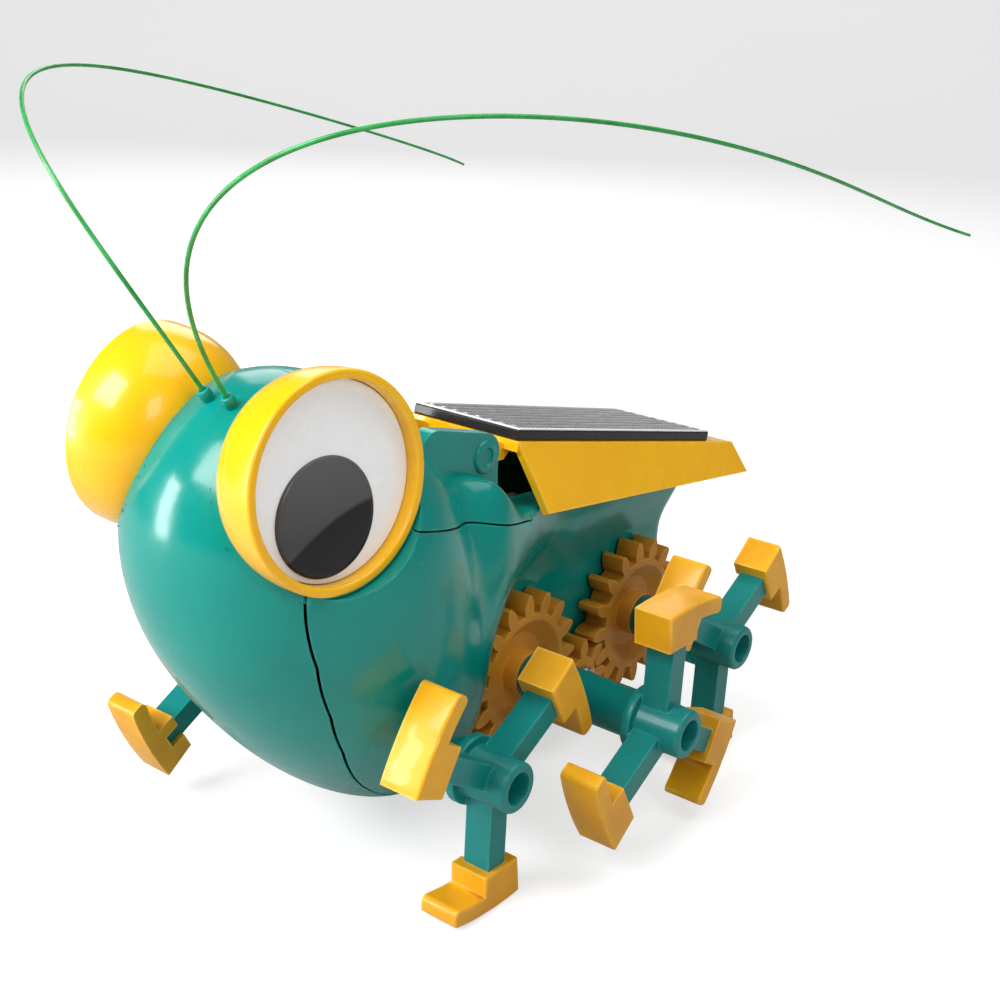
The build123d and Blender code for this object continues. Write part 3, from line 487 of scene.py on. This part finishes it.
def tail_base_width(z):
    """Half width of the plain tail at a height: a wide deck over a narrow keel."""
    return TAIL_LOWER + (TAIL_UPPER - TAIL_LOWER) * smooth_step((z - WAIST_LOW) / (WAIST_TOP - WAIST_LOW))


def smooth_max(first, second, reach):
    overlap = max(reach - abs(first - second), 0.0) / reach
    return max(first, second) + overlap * overlap * reach / 4


def shoulder_width(x, z):
    """Half width where the tail widens into the head; it meets the head's own surface at SHOULDER_END."""
    base = tail_base_width(z)
    gain = max(egg_half_width(SHOULDER_END, z) - base, 0.0)
    start = 3.0 - 14.0 * smooth_step((z - 28.0) / 17.0)
    width = base + gain * smooth_step((x - start) / (SHOULDER_END - start))
    head = egg_half_width(x, z)
    reach = 7.0 * (1.0 - smooth_step((x - 20.0) / (SHOULDER_END - 20.0))) + 0.05
    width = smooth_max(width, head, reach)
    fade = smooth_step((x - 16.0) / 10.0)
    return width * (1 - fade) + min(width, max(head - 0.15, 1.0)) * fade


def tail_ring(x):
    """One closed section of the tail at x, in (y, z), from the deck round the keel and back."""
    haunch = smooth_step((x - HAUNCH_START) / HAUNCH_RUN)
    deck = DECK_Z + (x - COVER_REAR_X) * DECK_SLOPE + HAUNCH_RISE * haunch
    keel = KEEL_Z - 0.04 * x if x > 0 else KEEL_Z + KEEL_RISE * (x / TAIL_REAR_X) ** 2.4
    end_gap = max(0.0, TAIL_END_R - (x - TAIL_REAR_X))
    narrowing = TAIL_END_R - math.sqrt(TAIL_END_R ** 2 - end_gap ** 2)
    levels = list(np.linspace(deck, WAIST_TOP, 9))
    levels += list(np.linspace(WAIST_TOP, WAIST_LOW, 11)[1:-1])
    levels += list(np.linspace(WAIST_LOW, keel, 10))
    side = [(tail_base_width(z) - narrowing, z) for z in levels]
    deck_corner = (side[0][0], deck, DECK_CORNER_R + 2.0 * haunch)
    keel_corner = (side[-1][0], keel, KEEL_CORNER_R)
    outline = [(0.0, deck), deck_corner] + side[1:-1] + [keel_corner, (0.0, keel)]
    half = []
    for y, z in rounded(outline, 0.0, 6):
        half.append((y * shoulder_width(x, z) / tail_base_width(z), z))
    return half + [(-y, z) for y, z in reversed(half[1:-1])]


def loft_mesh(name, rings):
    """Closed mesh through rings of 3-D points, with fan caps."""
    count = len(rings[0])
    verts = [spot for ring in rings for spot in ring]
    faces = []
    for level in range(len(rings) - 1):
        for index in range(count):
            after = (index + 1) % count
            a = level * count
            faces.append((a + index, a + after, a + count + after, a + count + index))
    faces.append(tuple(range(count)))
    faces.append(tuple(reversed(range(len(verts) - count, len(verts)))))
    mesh = mesh_from(name, verts, faces)
    fix_normals(mesh)
    return mesh


def joined(name, meshes):
    work = bmesh.new()
    for mesh in meshes:
        work.from_mesh(mesh)
    result = bpy.data.meshes.new(name)
    work.to_mesh(result)
    work.free()
    return result


def body_skin():
    """Head and tail as one closed skin, smoothed where they meet."""
    verts, faces = lathe(egg_profile(28), 96, egg_matrix())
    egg = mesh_from("egg", [tuple(v) for v in verts], faces)
    fix_normals(egg)
    stations = [TAIL_REAR_X + step for step in (0.0, 0.3, 0.8, 1.6, 2.6, 3.8)]
    stations += [-43.0 + 2.0 * step for step in range(37)]
    rings = [[(x, y, z) for y, z in tail_ring(x)] for x in stations]
    tail = loft_mesh("tail", rings)
    skin = new_object("body_skin", joined("body_skin", [egg, tail]))
    remesh = skin.modifiers.new("remesh", "REMESH")
    remesh.mode = "VOXEL"
    remesh.voxel_size = 0.55 * MM
    apply_modifiers(skin)
    # Only the part where head and tail meet is smoothed hard. The rest gets a light polish.
    group = skin.vertex_groups.new(name="join")
    for vertex in skin.data.vertices:
        x = vertex.co.x / MM - X0
        weight = smooth_step((x - 2.0) / 7.0) * smooth_step((40.0 - x) / 9.0)
        group.add([vertex.index], weight, "REPLACE")
    relax = skin.modifiers.new("relax", "SMOOTH")
    relax.factor = 0.5
    relax.iterations = 70
    relax.vertex_group = "join"
    polish = skin.modifiers.new("polish", "SMOOTH")
    polish.factor = 0.5
    polish.iterations = 8
    apply_modifiers(skin)
    return skin


def tube_mesh(x, z, radius, y_low, y_high, steps=96):
    """Closed cylinder along Y, used as a cutter."""
    ring = [(math.cos(2 * math.pi * k / steps), math.sin(2 * math.pi * k / steps)) for k in range(steps)]
    verts = [(x + radius * c, y, z + radius * s) for y in (y_low, y_high) for c, s in ring]
    faces = [(k, (k + 1) % steps, steps + (k + 1) % steps, steps + k) for k in range(steps)]
    faces += [tuple(range(steps)), tuple(reversed(range(steps, 2 * steps)))]
    mesh = mesh_from("cutter", verts, faces)
    fix_normals(mesh)
    return mesh


def cut(obj, cutter_meshes):
    cutter = new_object("cutter", joined("cutter", cutter_meshes))
    boolean = obj.modifiers.new("cut", "BOOLEAN")
    boolean.operation = "DIFFERENCE"
    boolean.solver = "EXACT"
    boolean.use_self = True
    boolean.object = cutter
    apply_modifiers(obj)
    bpy.data.objects.remove(cutter)


def eye_matrix(side):
    """Local Z out of the rim, local X towards the front."""
    yaw = EYE_YAW
    pitch = EYE_PITCH
    normal = Vector((math.sin(yaw) * math.cos(pitch), math.cos(yaw) * math.cos(pitch), math.sin(pitch)))
    forward = Vector((math.cos(yaw), -math.sin(yaw), 0.0))
    up = normal.cross(forward)
    matrix = Matrix((forward, up, normal)).transposed().to_4x4()
    matrix.translation = Vector(EYE_CENTRE)
    if side == "right":
        matrix = Matrix.Diagonal((1, -1, 1, 1)) @ matrix
    return matrix


def cup_outline(radius, depth, steps=26):
    """Back of an eye cup as (radius, height): straight behind the rim, then closing in a full dome."""
    outline = []
    for angle in np.radians(np.linspace(0, 90, steps)):
        outline.append((radius * math.cos(angle) ** 0.78, -depth * math.sin(angle) ** 0.78))
    outline[-1] = (0.0, -depth)
    return outline


def eye_cutter(side):
    """Room for an eye cup, open to the outside of its rim."""
    back = [(r, z - 0.6) for r, z in cup_outline(EYE_RIM_R - 0.3, CUP_DEPTH - 0.9)]
    profile = [(0.0, 12.0), (14.6, 12.0), (14.6, -0.6)] + back
    verts, faces = lathe(profile, 96, eye_matrix(side))
    mesh = mesh_from("cutter", [tuple(v) for v in verts], faces)
    fix_normals(mesh)
    return mesh


def shell_at(spot):
    """Which shell this part of the skin belongs to; None over the deck opening."""
    x, y, z = spot
    if DECK_OPENING[0] < x < DECK_OPENING[1] and abs(y) < DECK_OPENING_HALF and z > 43.0:
        return None
    levels, widths = zip(*reversed(FACE_EDGE))
    half = np.interp(z, levels, widths)
    if abs(y) < half and (x > FACE_TOP_X or (x > FACE_BELLY_X and z < FACE_STEP_Z)):
        return "face"
    if COVER_REAR_X < x < FACE_TOP_X and z > SEAM_Z + SEAM_SLOPE * (x - COVER_REAR_X):
        return None if x < ARM_SLOT_END and abs(y) < ARM_SLOT_HALF else "cover"
    return "left" if y > 0 else "right"


def parted_shells(skin):
    """The skin cut along its parting lines into face, cover and side shells."""
    work = bmesh.new()
    work.from_mesh(skin.data)
    steps = []
    planes = [
        ((FACE_TOP_X, 0, 0), (1, 0, 0)), ((FACE_BELLY_X, 0, 0), (1, 0, 0)),
        ((COVER_REAR_X, 0, 0), (1, 0, 0)),
        ((0, 0, 0), (0, 1, 0)), ((0, 0, FACE_STEP_Z), (0, 0, 1)),
        ((COVER_REAR_X, 0, SEAM_Z), (-SEAM_SLOPE, 0, 1)),
    ]
    for (high_z, high_half), (low_z, low_half) in zip(FACE_EDGE, FACE_EDGE[1:]):
        lean = (high_half - low_half) / (high_z - low_z)
        planes.append(((0, high_half, high_z), (0, 1, -lean)))
        planes.append(((0, -high_half, high_z), (0, 1, lean)))
    for place, normal in planes:
        step = Vector(normal).normalized() * PARTING_GAP / 2
        steps.append(step)
        for sign in (-1, 1):
            geometry = work.verts[:] + work.edges[:] + work.faces[:]
            spot = point(*(Vector(place) + sign * step))
            bmesh.ops.bisect_plane(work, geom=geometry, dist=1e-7, plane_co=spot, plane_no=normal)
    groups = {"face": [], "cover": [], "left": [], "right": []}
    for face in work.faces:
        centre = face.calc_center_median()
        spot = Vector((centre.x / MM - X0, centre.y / MM, centre.z / MM))
        key = shell_at(spot)
        on_line = any(shell_at(spot + step) != shell_at(spot - step) for step in steps)
        if key and not on_line:
            groups[key].append(face)
    result = {}
    for key, members in groups.items():
        part = bmesh.new()
        copies = {}
        for face in members:
            corners = []
            for vertex in face.verts:
                if vertex not in copies:
                    copies[vertex] = part.verts.new(vertex.co)
                corners.append(copies[vertex])
            part.faces.new(corners)
        mesh = bpy.data.meshes.new(key + "_shell")
        part.to_mesh(mesh)
        part.free()
        result[key] = mesh
    work.free()
    return result


def shell_piece(name, mesh, nodes):
    obj = new_object(name, mesh)
    shade(obj, 50.0)
    thick = obj.modifiers.new("wall", "SOLIDIFY")
    thick.thickness = WALL * MM
    thick.offset = -1.0
    thick.use_even_offset = False
    rim = obj.modifiers.new("rim", "BEVEL")
    rim.width = 0.12 * MM
    rim.segments = 2
    rim.limit_method = "ANGLE"
    rim.angle_limit = math.radians(60.0)
    finish_piece(obj, TEAL, "body", "teal_shell", *nodes)
    return obj


def build_shells():
    skin = body_skin()
    cutters = []
    for sign in (-1, 1):
        span = sorted((sign * POCKET_FLOOR, sign * 30.0))
        cutters.append(tube_mesh(0.0, AXLE_Z, GEAR_POCKET_R, *span))
        cutters.append(tube_mesh(REAR_X, AXLE_Z, GEAR_POCKET_R, *span))
        cutters.append(tube_mesh(IDLER_X, IDLER_Z, IDLER_POCKET_R, *span))
    cutters += [eye_cutter("left"), eye_cutter("right")]
    cut(skin, cutters)
    meshes = parted_shells(skin)
    bpy.data.objects.remove(skin)
    shell_piece("face_shell_skin", meshes["face"], ["face_shell"])
    shell_piece("left_shell_skin", meshes["left"], ["left_side_shell"])
    shell_piece("right_shell_skin", meshes["right"], ["right_side_shell"])
    shell_piece("cover_shell_skin", meshes["cover"], ["top_cover"])


EAR_R = 3.5
EAR_Y = (8.6, 11.3)
PEG_HOLE_R = 2.0


def hinge_lugs():
    """Ears of the top cover that hold the wing's pegs, with a raised boss round each peg hole."""
    low_rear = SEAM_Z + SEAM_SLOPE * 3.0
    low_front = SEAM_Z + SEAM_SLOPE * 25.0
    ear = []
    for angle in np.radians(np.linspace(105, 200, 12)):
        ear.append((HINGE_X + EAR_R * math.cos(angle), HINGE_Z + EAR_R * math.sin(angle)))
    outline = rounded([(30.0, low_front), (30.0, 62.0, 0.4), (26.0, 66.3, 2.0)] + ear + [
        (10.2, 55.5, 1.5), (8.6, low_rear, 0.3), (30.0, low_front),
    ], 0.0, 8)[:-1]
    for side, sign in (("left", 1), ("right", -1)):
        count = len(outline)
        verts = [(x, sign * y, z) for y in EAR_Y for x, z in outline]
        faces = [(k, (k + 1) % count, count + (k + 1) % count, count + k) for k in range(count)]
        faces += [tuple(range(count)), tuple(reversed(range(count, 2 * count)))]
        mesh = mesh_from(side + "_hinge_lug", verts, faces)
        fix_normals(mesh)
        lug = new_object(side + "_hinge_lug", mesh)
        shade(lug)
        cut(lug, [tube_mesh(HINGE_X, HINGE_Z, PEG_HOLE_R, -20.0, 20.0, 64)])
        shade(lug)
        bevel(lug, 0.9, 4, 50.0)
        finish_piece(lug, TEAL, "body", "teal_shell")
        # Cap over the peg hole
        spot = Matrix.Translation(Vector((HINGE_X, sign * EAR_Y[1], HINGE_Z)))
        spot = spot @ Matrix.Rotation(math.radians(-90 * sign), 4, "X")
        profile = rounded([
            (0.0, 0.05), (1.3, 0.05, 0.1), (1.5, 0.5, 0.15),
            (2.4, 0.4, 0.3), (2.8, -0.4, 0.05), (0.0, -0.4),
        ], 0.1, 4)
        boss = turned_piece(side + "_hinge_boss", profile, 64, spot, 30.0)
        finish_piece(boss, TEAL, "body", "teal_shell")


# ---------------------------------------------------------------- eyes
def turned_piece(name, profile, steps, matrix, angle=40.0):
    """A lathe-turned object, its profile's doubled points merged."""
    verts, faces = lathe(profile, steps, matrix)
    mesh = mesh_from(name, [tuple(v) for v in verts], faces)
    work = bmesh.new()
    work.from_mesh(mesh)
    bmesh.ops.remove_doubles(work, verts=work.verts, dist=1e-7)
    work.to_mesh(mesh)
    work.free()
    fix_normals(mesh)
    obj = new_object(name, mesh)
    shade(obj, angle)
    return obj


def eye_parts(side):
    matrix = eye_matrix(side)
    floor_z = -EYE_RECESS - 1.4
    rim = [(EYE_HOLE_R, floor_z), (EYE_HOLE_R, 0.0, 0.5), (EYE_RIM_R, 0.0, 0.8), (EYE_RIM_R, -1.0)]
    rim = rounded(rim, 0.0, 7)
    outer = [(r, z - 1.0) for r, z in cup_outline(EYE_RIM_R, CUP_DEPTH - 1.0)]
    inner = cup_outline(EYE_HOLE_R - 0.9, CUP_DEPTH + floor_z - 1.4)
    inner = [(r, z + floor_z) for r, z in reversed(inner)]
    profile = rim[:-1] + outer + inner + [(EYE_HOLE_R, floor_z)]
    cup = turned_piece(side + "_eye_cup_shape", profile, 128, matrix)
    finish_piece(cup, YELLOW, "body", "yellow", side + "_eye_cup")

    steps = 14
    disc_r = EYE_HOLE_R - 0.1
    crown = []
    for step in range(steps, -1, -1):
        share = step / steps
        crown.append((disc_r * share, 0.1 - EYE_RECESS + 0.7 * (1 - share ** 2)))
    profile = [(0.0, floor_z + 0.05), (disc_r, floor_z + 0.05)] + crown
    disc = turned_piece(side + "_eye_disc", profile, 96, matrix)
    finish_piece(disc, WHITE, "body", "white", side + "_eye_white")

    centre = matrix @ Matrix.Translation(Vector((*PUPIL_PLACE, -EYE_RECESS + 0.55)))
    crown = [((PUPIL_R - 0.4) * k / 10, 0.75 - 0.28 * (k / 10) ** 2) for k in range(11)]
    edge = [(PUPIL_R - 0.15, 0.38), (PUPIL_R, 0.2), (PUPIL_R, -0.6), (0.0, -0.6)]
    pupil = turned_piece(side + "_pupil_disc", crown + edge, 96, centre)
    finish_piece(pupil, PUPIL, "body", "black", side + "_pupil")


# ---------------------------------------------------------------- whips
# Control points of the left whip. All five were printed by least-squares fits to the photo, run
# outside this script: the first is a rounded result of the camera fit, and the other four are
# results of a fit to both whips, used unchanged.
WHIP_CONTROL = (
    (55.6, 2.2, 75.1), (91.2, 5.3, 124.8), (52.8, 76.2, 118.7), (-20.3, 38.0, 99.8), (-57.0, 51.2, 89.7),
)
WHIP_R = 0.31
WHIP_TAPER = 0.08


def whip(side):
    """Tapering wire along a long quartic curve, in a small collar at the forehead."""
    sign = 1 if side == "left" else -1
    control = [Vector((x, sign * y, z)) for x, y, z in WHIP_CONTROL]
    steps, around = 180, 14
    spots = []
    for step in range(steps + 1):
        t = step / steps
        weights = [math.comb(4, k) * t ** k * (1 - t) ** (4 - k) for k in range(5)]
        spots.append(sum((c * w for c, w in zip(control, weights)), Vector()))
    start = (spots[1] - spots[0]).normalized()
    spots = [spots[0] - start * 3.5] + spots
    verts, faces = [], []
    normal = Vector((0, 1, 0))
    for index, spot in enumerate(spots):
        ahead = spots[min(index + 1, len(spots) - 1)]
        behind = spots[max(index - 1, 0)]
        tangent = (ahead - behind).normalized()
        normal = (normal - tangent * normal.dot(tangent)).normalized()
        across = tangent.cross(normal)
        radius = WHIP_R - WHIP_TAPER * index / len(spots)
        for k in range(around):
            angle = 2 * math.pi * k / around
            outward = normal * math.cos(angle) + across * math.sin(angle)
            verts.append(tuple(spot + outward * radius))
    for level in range(len(spots) - 1):
        for k in range(around):
            after = (k + 1) % around
            a = level * around
            faces.append((a + k, a + after, a + around + after, a + around + k))
    faces.append(tuple(reversed(range(around))))
    faces.append(tuple(range(len(verts) - around, len(verts))))
    mesh = mesh_from(side + "_whip", verts, faces)
    fix_normals(mesh)
    obj = new_object(side + "_whip", mesh)
    shade(obj, 50.0)
    finish_piece(obj, WHIP, "body", "green_wire", side + "_antenna")

    # Collar where the wire enters the forehead
    base = spots[1]
    rotation = start.to_track_quat("Z", "X").to_matrix().to_4x4()
    spot = Matrix.Translation(base - start * 1.2) @ rotation
    profile = [(0.4, 1.0), (0.8, 1.0, 0.2), (0.95, 0.2, 0.1), (0.95, -1.2), (0.4, -1.2), (0.4, 1.0)]
    profile = rounded(profile, 0.05, 4)
    collar = turned_piece(side + "_whip_collar", profile, 32, spot)
    finish_piece(collar, TEAL, "body", "teal_shell")


# ---------------------------------------------------------------- wing and panel
WING_SLOPE = math.radians(12.2)
WING_FRONT = (5.0, 60.0)
BOX_FACES = ((0, 1, 3, 2), (4, 6, 7, 5), (0, 4, 5, 1), (2, 3, 7, 6), (0, 2, 6, 4), (1, 5, 7, 3))


def on_wing(u, y, height):
    """A place on the wing: u back along the slope from its front edge, height above its top face."""
    x = WING_FRONT[0] - u * math.cos(WING_SLOPE) - height * math.sin(WING_SLOPE)
    z = WING_FRONT[1] - u * math.sin(WING_SLOPE) + height * math.cos(WING_SLOPE)
    return (x, y, z)


def grid_mesh(name, boxes):
    """Wing-aligned boxes as one object: each is (u range, y range, height range)."""
    verts, faces = [], []
    for u_range, y_range, h_range in boxes:
        start = len(verts)
        verts += [on_wing(u, y, h) for u in u_range for y in y_range for h in h_range]
        faces += [tuple(start + k for k in face) for face in BOX_FACES]
    mesh = mesh_from(name, verts, faces)
    fix_normals(mesh)
    return new_object(name, mesh)


PANEL_START = 0.6
PANEL_END = 60.6
# Half width from the camera fit. The length was matched to the photo.
PANEL_HALF = 10.3
PANEL_T = 1.9
BORDER_INSET = 0.15
BORDER_WIDTH = 0.75
CELL_MARGIN = 1.3
CELL_GAP = 0.35
CELL_COUNT = 8
BUSBAR_HALF = 0.09
PAD_HALF = 0.35
PAD_LENGTH = 0.9


def panel_board():
    outline = ((PANEL_START, PANEL_END), (-PANEL_HALF, PANEL_HALF), (0.0, PANEL_T - 0.2))
    board = grid_mesh("panel_board", [outline])
    shade(board)
    bevel(board, 0.3, 3)
    finish_piece(board, BOARD, "wing", "board", "solar_panel_board")


def panel_border():
    """White printed frame round the cells."""
    low, high = PANEL_START + BORDER_INSET, PANEL_END - BORDER_INSET
    half = PANEL_HALF - BORDER_INSET
    inner = half - BORDER_WIDTH
    height = (PANEL_T - 0.3, PANEL_T - 0.02)
    border = grid_mesh("panel_border", [
        ((low, high), (inner, half), height),
        ((low, high), (-half, -inner), height),
        ((low, low + BORDER_WIDTH), (-inner, inner), height),
        ((high - BORDER_WIDTH, high), (-inner, inner), height),
    ])
    bevel(border, 0.06, 2)
    finish_piece(border, BORDER, "wing", "white")


def panel_cells():
    """Silicon strips, each with a busbar along its middle and a solder pad at both ends."""
    low, high = PANEL_START + CELL_MARGIN, PANEL_END - CELL_MARGIN
    field = 2 * (PANEL_HALF - CELL_MARGIN)
    width = (field - CELL_GAP * (CELL_COUNT - 1)) / CELL_COUNT
    strips, bars, pads = [], [], []
    for index in range(CELL_COUNT):
        side = -PANEL_HALF + CELL_MARGIN + index * (width + CELL_GAP)
        middle = side + width / 2
        bar_y = (middle - BUSBAR_HALF, middle + BUSBAR_HALF)
        pad_y = (middle - PAD_HALF, middle + PAD_HALF)
        pad_height = (PANEL_T - 0.02, PANEL_T + 0.08)
        strips.append(((low, high), (side, side + width), (PANEL_T - 0.3, PANEL_T)))
        bars.append(((low + 0.4, high - 0.4), bar_y, (PANEL_T - 0.02, PANEL_T + 0.05)))
        pads.append(((low + 0.1, low + 0.1 + PAD_LENGTH), pad_y, pad_height))
        pads.append(((high - 0.1 - PAD_LENGTH, high - 0.1), pad_y, pad_height))
    cells = grid_mesh("panel_cells", strips)
    bevel(cells, 0.05, 1)
    finish_piece(cells, CELL, "wing", "silicon", "solar_cells")
    busbars = grid_mesh("panel_busbars", bars)
    finish_piece(busbars, SOLDER, "wing", "steel")
    solder = grid_mesh("panel_solder", pads)
    bevel(solder, 0.04, 2)
    finish_piece(solder, SOLDER, "wing", "steel")


# ---------------------------------------------------------------- CAD pieces that stay
def dress(node, material, width=0.0, segments=2, angle=35.0):
    obj = frame["nodes"][node]
    obj.data.materials.clear()
    obj.data.materials.append(material)
    if width:
        weld = obj.modifiers.new("weld", "WELD")
        weld.merge_threshold = 0.000002
        bevel(obj, width, segments, angle)


def dress_all():
    rows = ("front", "middle", "rear")
    for side in ("left", "right"):
        for row in rows:
            dress(side + "_" + row + "_leg", TEAL_LEG, 0.3, 2)
            dress(side + "_" + row + "_boots", BOOT, 0.6, 3)
        dress(side + "_middle_leg_gear", GEAR, 0.2, 2)
        dress(side + "_rear_leg_gear", GEAR, 0.2, 2)
        dress(side + "_idler_gear", GEAR, 0.2, 2)
        dress(side + "_idler_pin", STEEL)
        dress(side + "_frame_plate", DARK, 0.15, 2)
    for row in rows:
        dress(row + "_axle", STEEL)
    dress("wing_cover", YELLOW, 0.35, 3)
    dress("axle_bushes", TEAL_LEG, 0.12, 2)
    dress("shell_screws", STEEL)
    dress("frame_spacers", DARK)
    for node in ("first_reduction_gear", "second_reduction_gear", "third_reduction_gear",
                 "inner_idler_gear", "middle_axle_gear", "front_axle_gear"):
        dress(node, GEAR, 0.08, 1)
    dress("gear_pins", STEEL)
    dress("motor_can", STEEL)
    dress("motor_rotor", STEEL)
    dress("motor_pinion", STEEL)
    dress("motor_magnets", MAGNET)
    dress("motor_end_cap", DARK)


# ---------------------------------------------------------------- stage, light and camera
def stage():
    """A pale floor that curves up behind the toy."""
    half, depth, bend = 3.0, 1.4, 0.5
    profile = [(3.0, 0.0), (-depth + bend, 0.0)]
    for step in range(1, 13):
        angle = math.radians(90 * step / 12)
        profile.append((-depth + bend - bend * math.sin(angle), bend - bend * math.cos(angle)))
    profile.append((-depth, 2.2))
    heading = Vector((0.782, 0.624, 0))
    across = Vector((-heading.y, heading.x, 0))
    verts = []
    for distance, height in profile:
        for sign in (-1, 1):
            verts.append(heading * distance + across * half * sign + Vector((0, 0, height - 0.00001)))
    faces = [(2 * k, 2 * k + 1, 2 * k + 3, 2 * k + 2) for k in range(len(profile) - 1)]
    mesh = bpy.data.meshes.new("floor")
    mesh.from_pydata(verts, [], faces)
    floor = new_object("floor", mesh)
    shade(floor, 60.0)
    n = Nodes("floor_pale")
    tint = n.ramp(n.noise(6.0, 3.0), 0.3, 0.7)
    n.link(n.mix(tint, rgb(0.50, 0.50, 0.50), rgb(0.48, 0.48, 0.485)), n.shader.inputs["Base Color"])
    n.shader.inputs["Roughness"].default_value = 0.7
    n.shader.inputs["Emission Color"].default_value = rgb(1.0, 1.0, 1.0)
    # The camera sees a paler floor than the toy does, so the gloss keeps its contrast.
    seen = n.add("ShaderNodeLightPath").outputs["Is Camera Ray"]
    n.link(n.math("MULTIPLY", seen, 0.58), n.shader.inputs["Emission Strength"])
    floor.data.materials.append(n.material)


def area_light(name, place, target, size, power, colour=(1, 1, 1), size_y=None):
    data = bpy.data.lights.new(name, "AREA")
    data.energy = power
    data.size = size
    data.color = colour
    if size_y:
        data.shape = "RECTANGLE"
        data.size_y = size_y
    obj = new_object(name, data)
    obj.location = place
    obj.rotation_euler = (Vector(target) - Vector(place)).to_track_quat("-Z", "Y").to_euler()


def lights():
    world = bpy.data.worlds.new("studio")
    bpy.context.scene.world = world
    world.use_nodes = True
    world.node_tree.nodes["Background"].inputs[0].default_value = (1.0, 1.0, 1.0, 1.0)
    world.node_tree.nodes["Background"].inputs[1].default_value = 0.27
    middle = (0.0, 0.0, 0.04)
    area_light("key", (0.50, -0.12, 0.52), middle, 0.34, 5.2)
    area_light("window", (0.37, -0.29, 0.10), (0.04, 0.0, 0.05), 0.10, 1.6, size_y=0.26)
    area_light("side", (0.20, 0.50, 0.30), middle, 0.20, 0.7)
    area_light("top", (-0.15, 0.15, 0.70), middle, 0.6, 2.6)
    area_light("back", (-0.5, -0.45, 0.40), middle, 0.4, 1.2)


# The camera's place, turn, lens and shift are results of a camera fit to the photo, run outside
# this script. Lens and shift include an enlargement, so that the toy fills the frame.
CAMERA_PLACE = (178.47, 136.83, 126.26)
CAMERA_RIGHT = (-0.6343, 0.7722, 0.0378)
CAMERA_BACK = (0.7316, 0.5837, 0.3521)
CAMERA_SENSOR = 36.0
CAMERA_LENS = 53.8
CAMERA_SHIFT = (0.0506, 0.0285)


def camera():
    """The photograph's viewpoint."""
    position = point(*CAMERA_PLACE)
    right = Vector(CAMERA_RIGHT).normalized()
    back = Vector(CAMERA_BACK).normalized()
    up = back.cross(right).normalized()
    right = up.cross(back).normalized()
    data = bpy.data.cameras.new("camera")
    data.sensor_width = CAMERA_SENSOR
    data.lens = CAMERA_LENS
    data.shift_x, data.shift_y = CAMERA_SHIFT
    data.clip_start = 0.01
    obj = new_object("camera", data)
    obj.matrix_world = Matrix.Translation(position) @ Matrix((right, up, back)).transposed().to_4x4()
    bpy.context.scene.camera = obj


build_shells()
hinge_lugs()
for eye_side in ("left", "right"):
    eye_parts(eye_side)
    whip(eye_side)
panel_board()
panel_border()
panel_cells()
dress_all()
stage()
lights()
camera()
scene = bpy.context.scene
scene.view_settings.view_transform = "Standard"
scene.view_settings.look = "None"
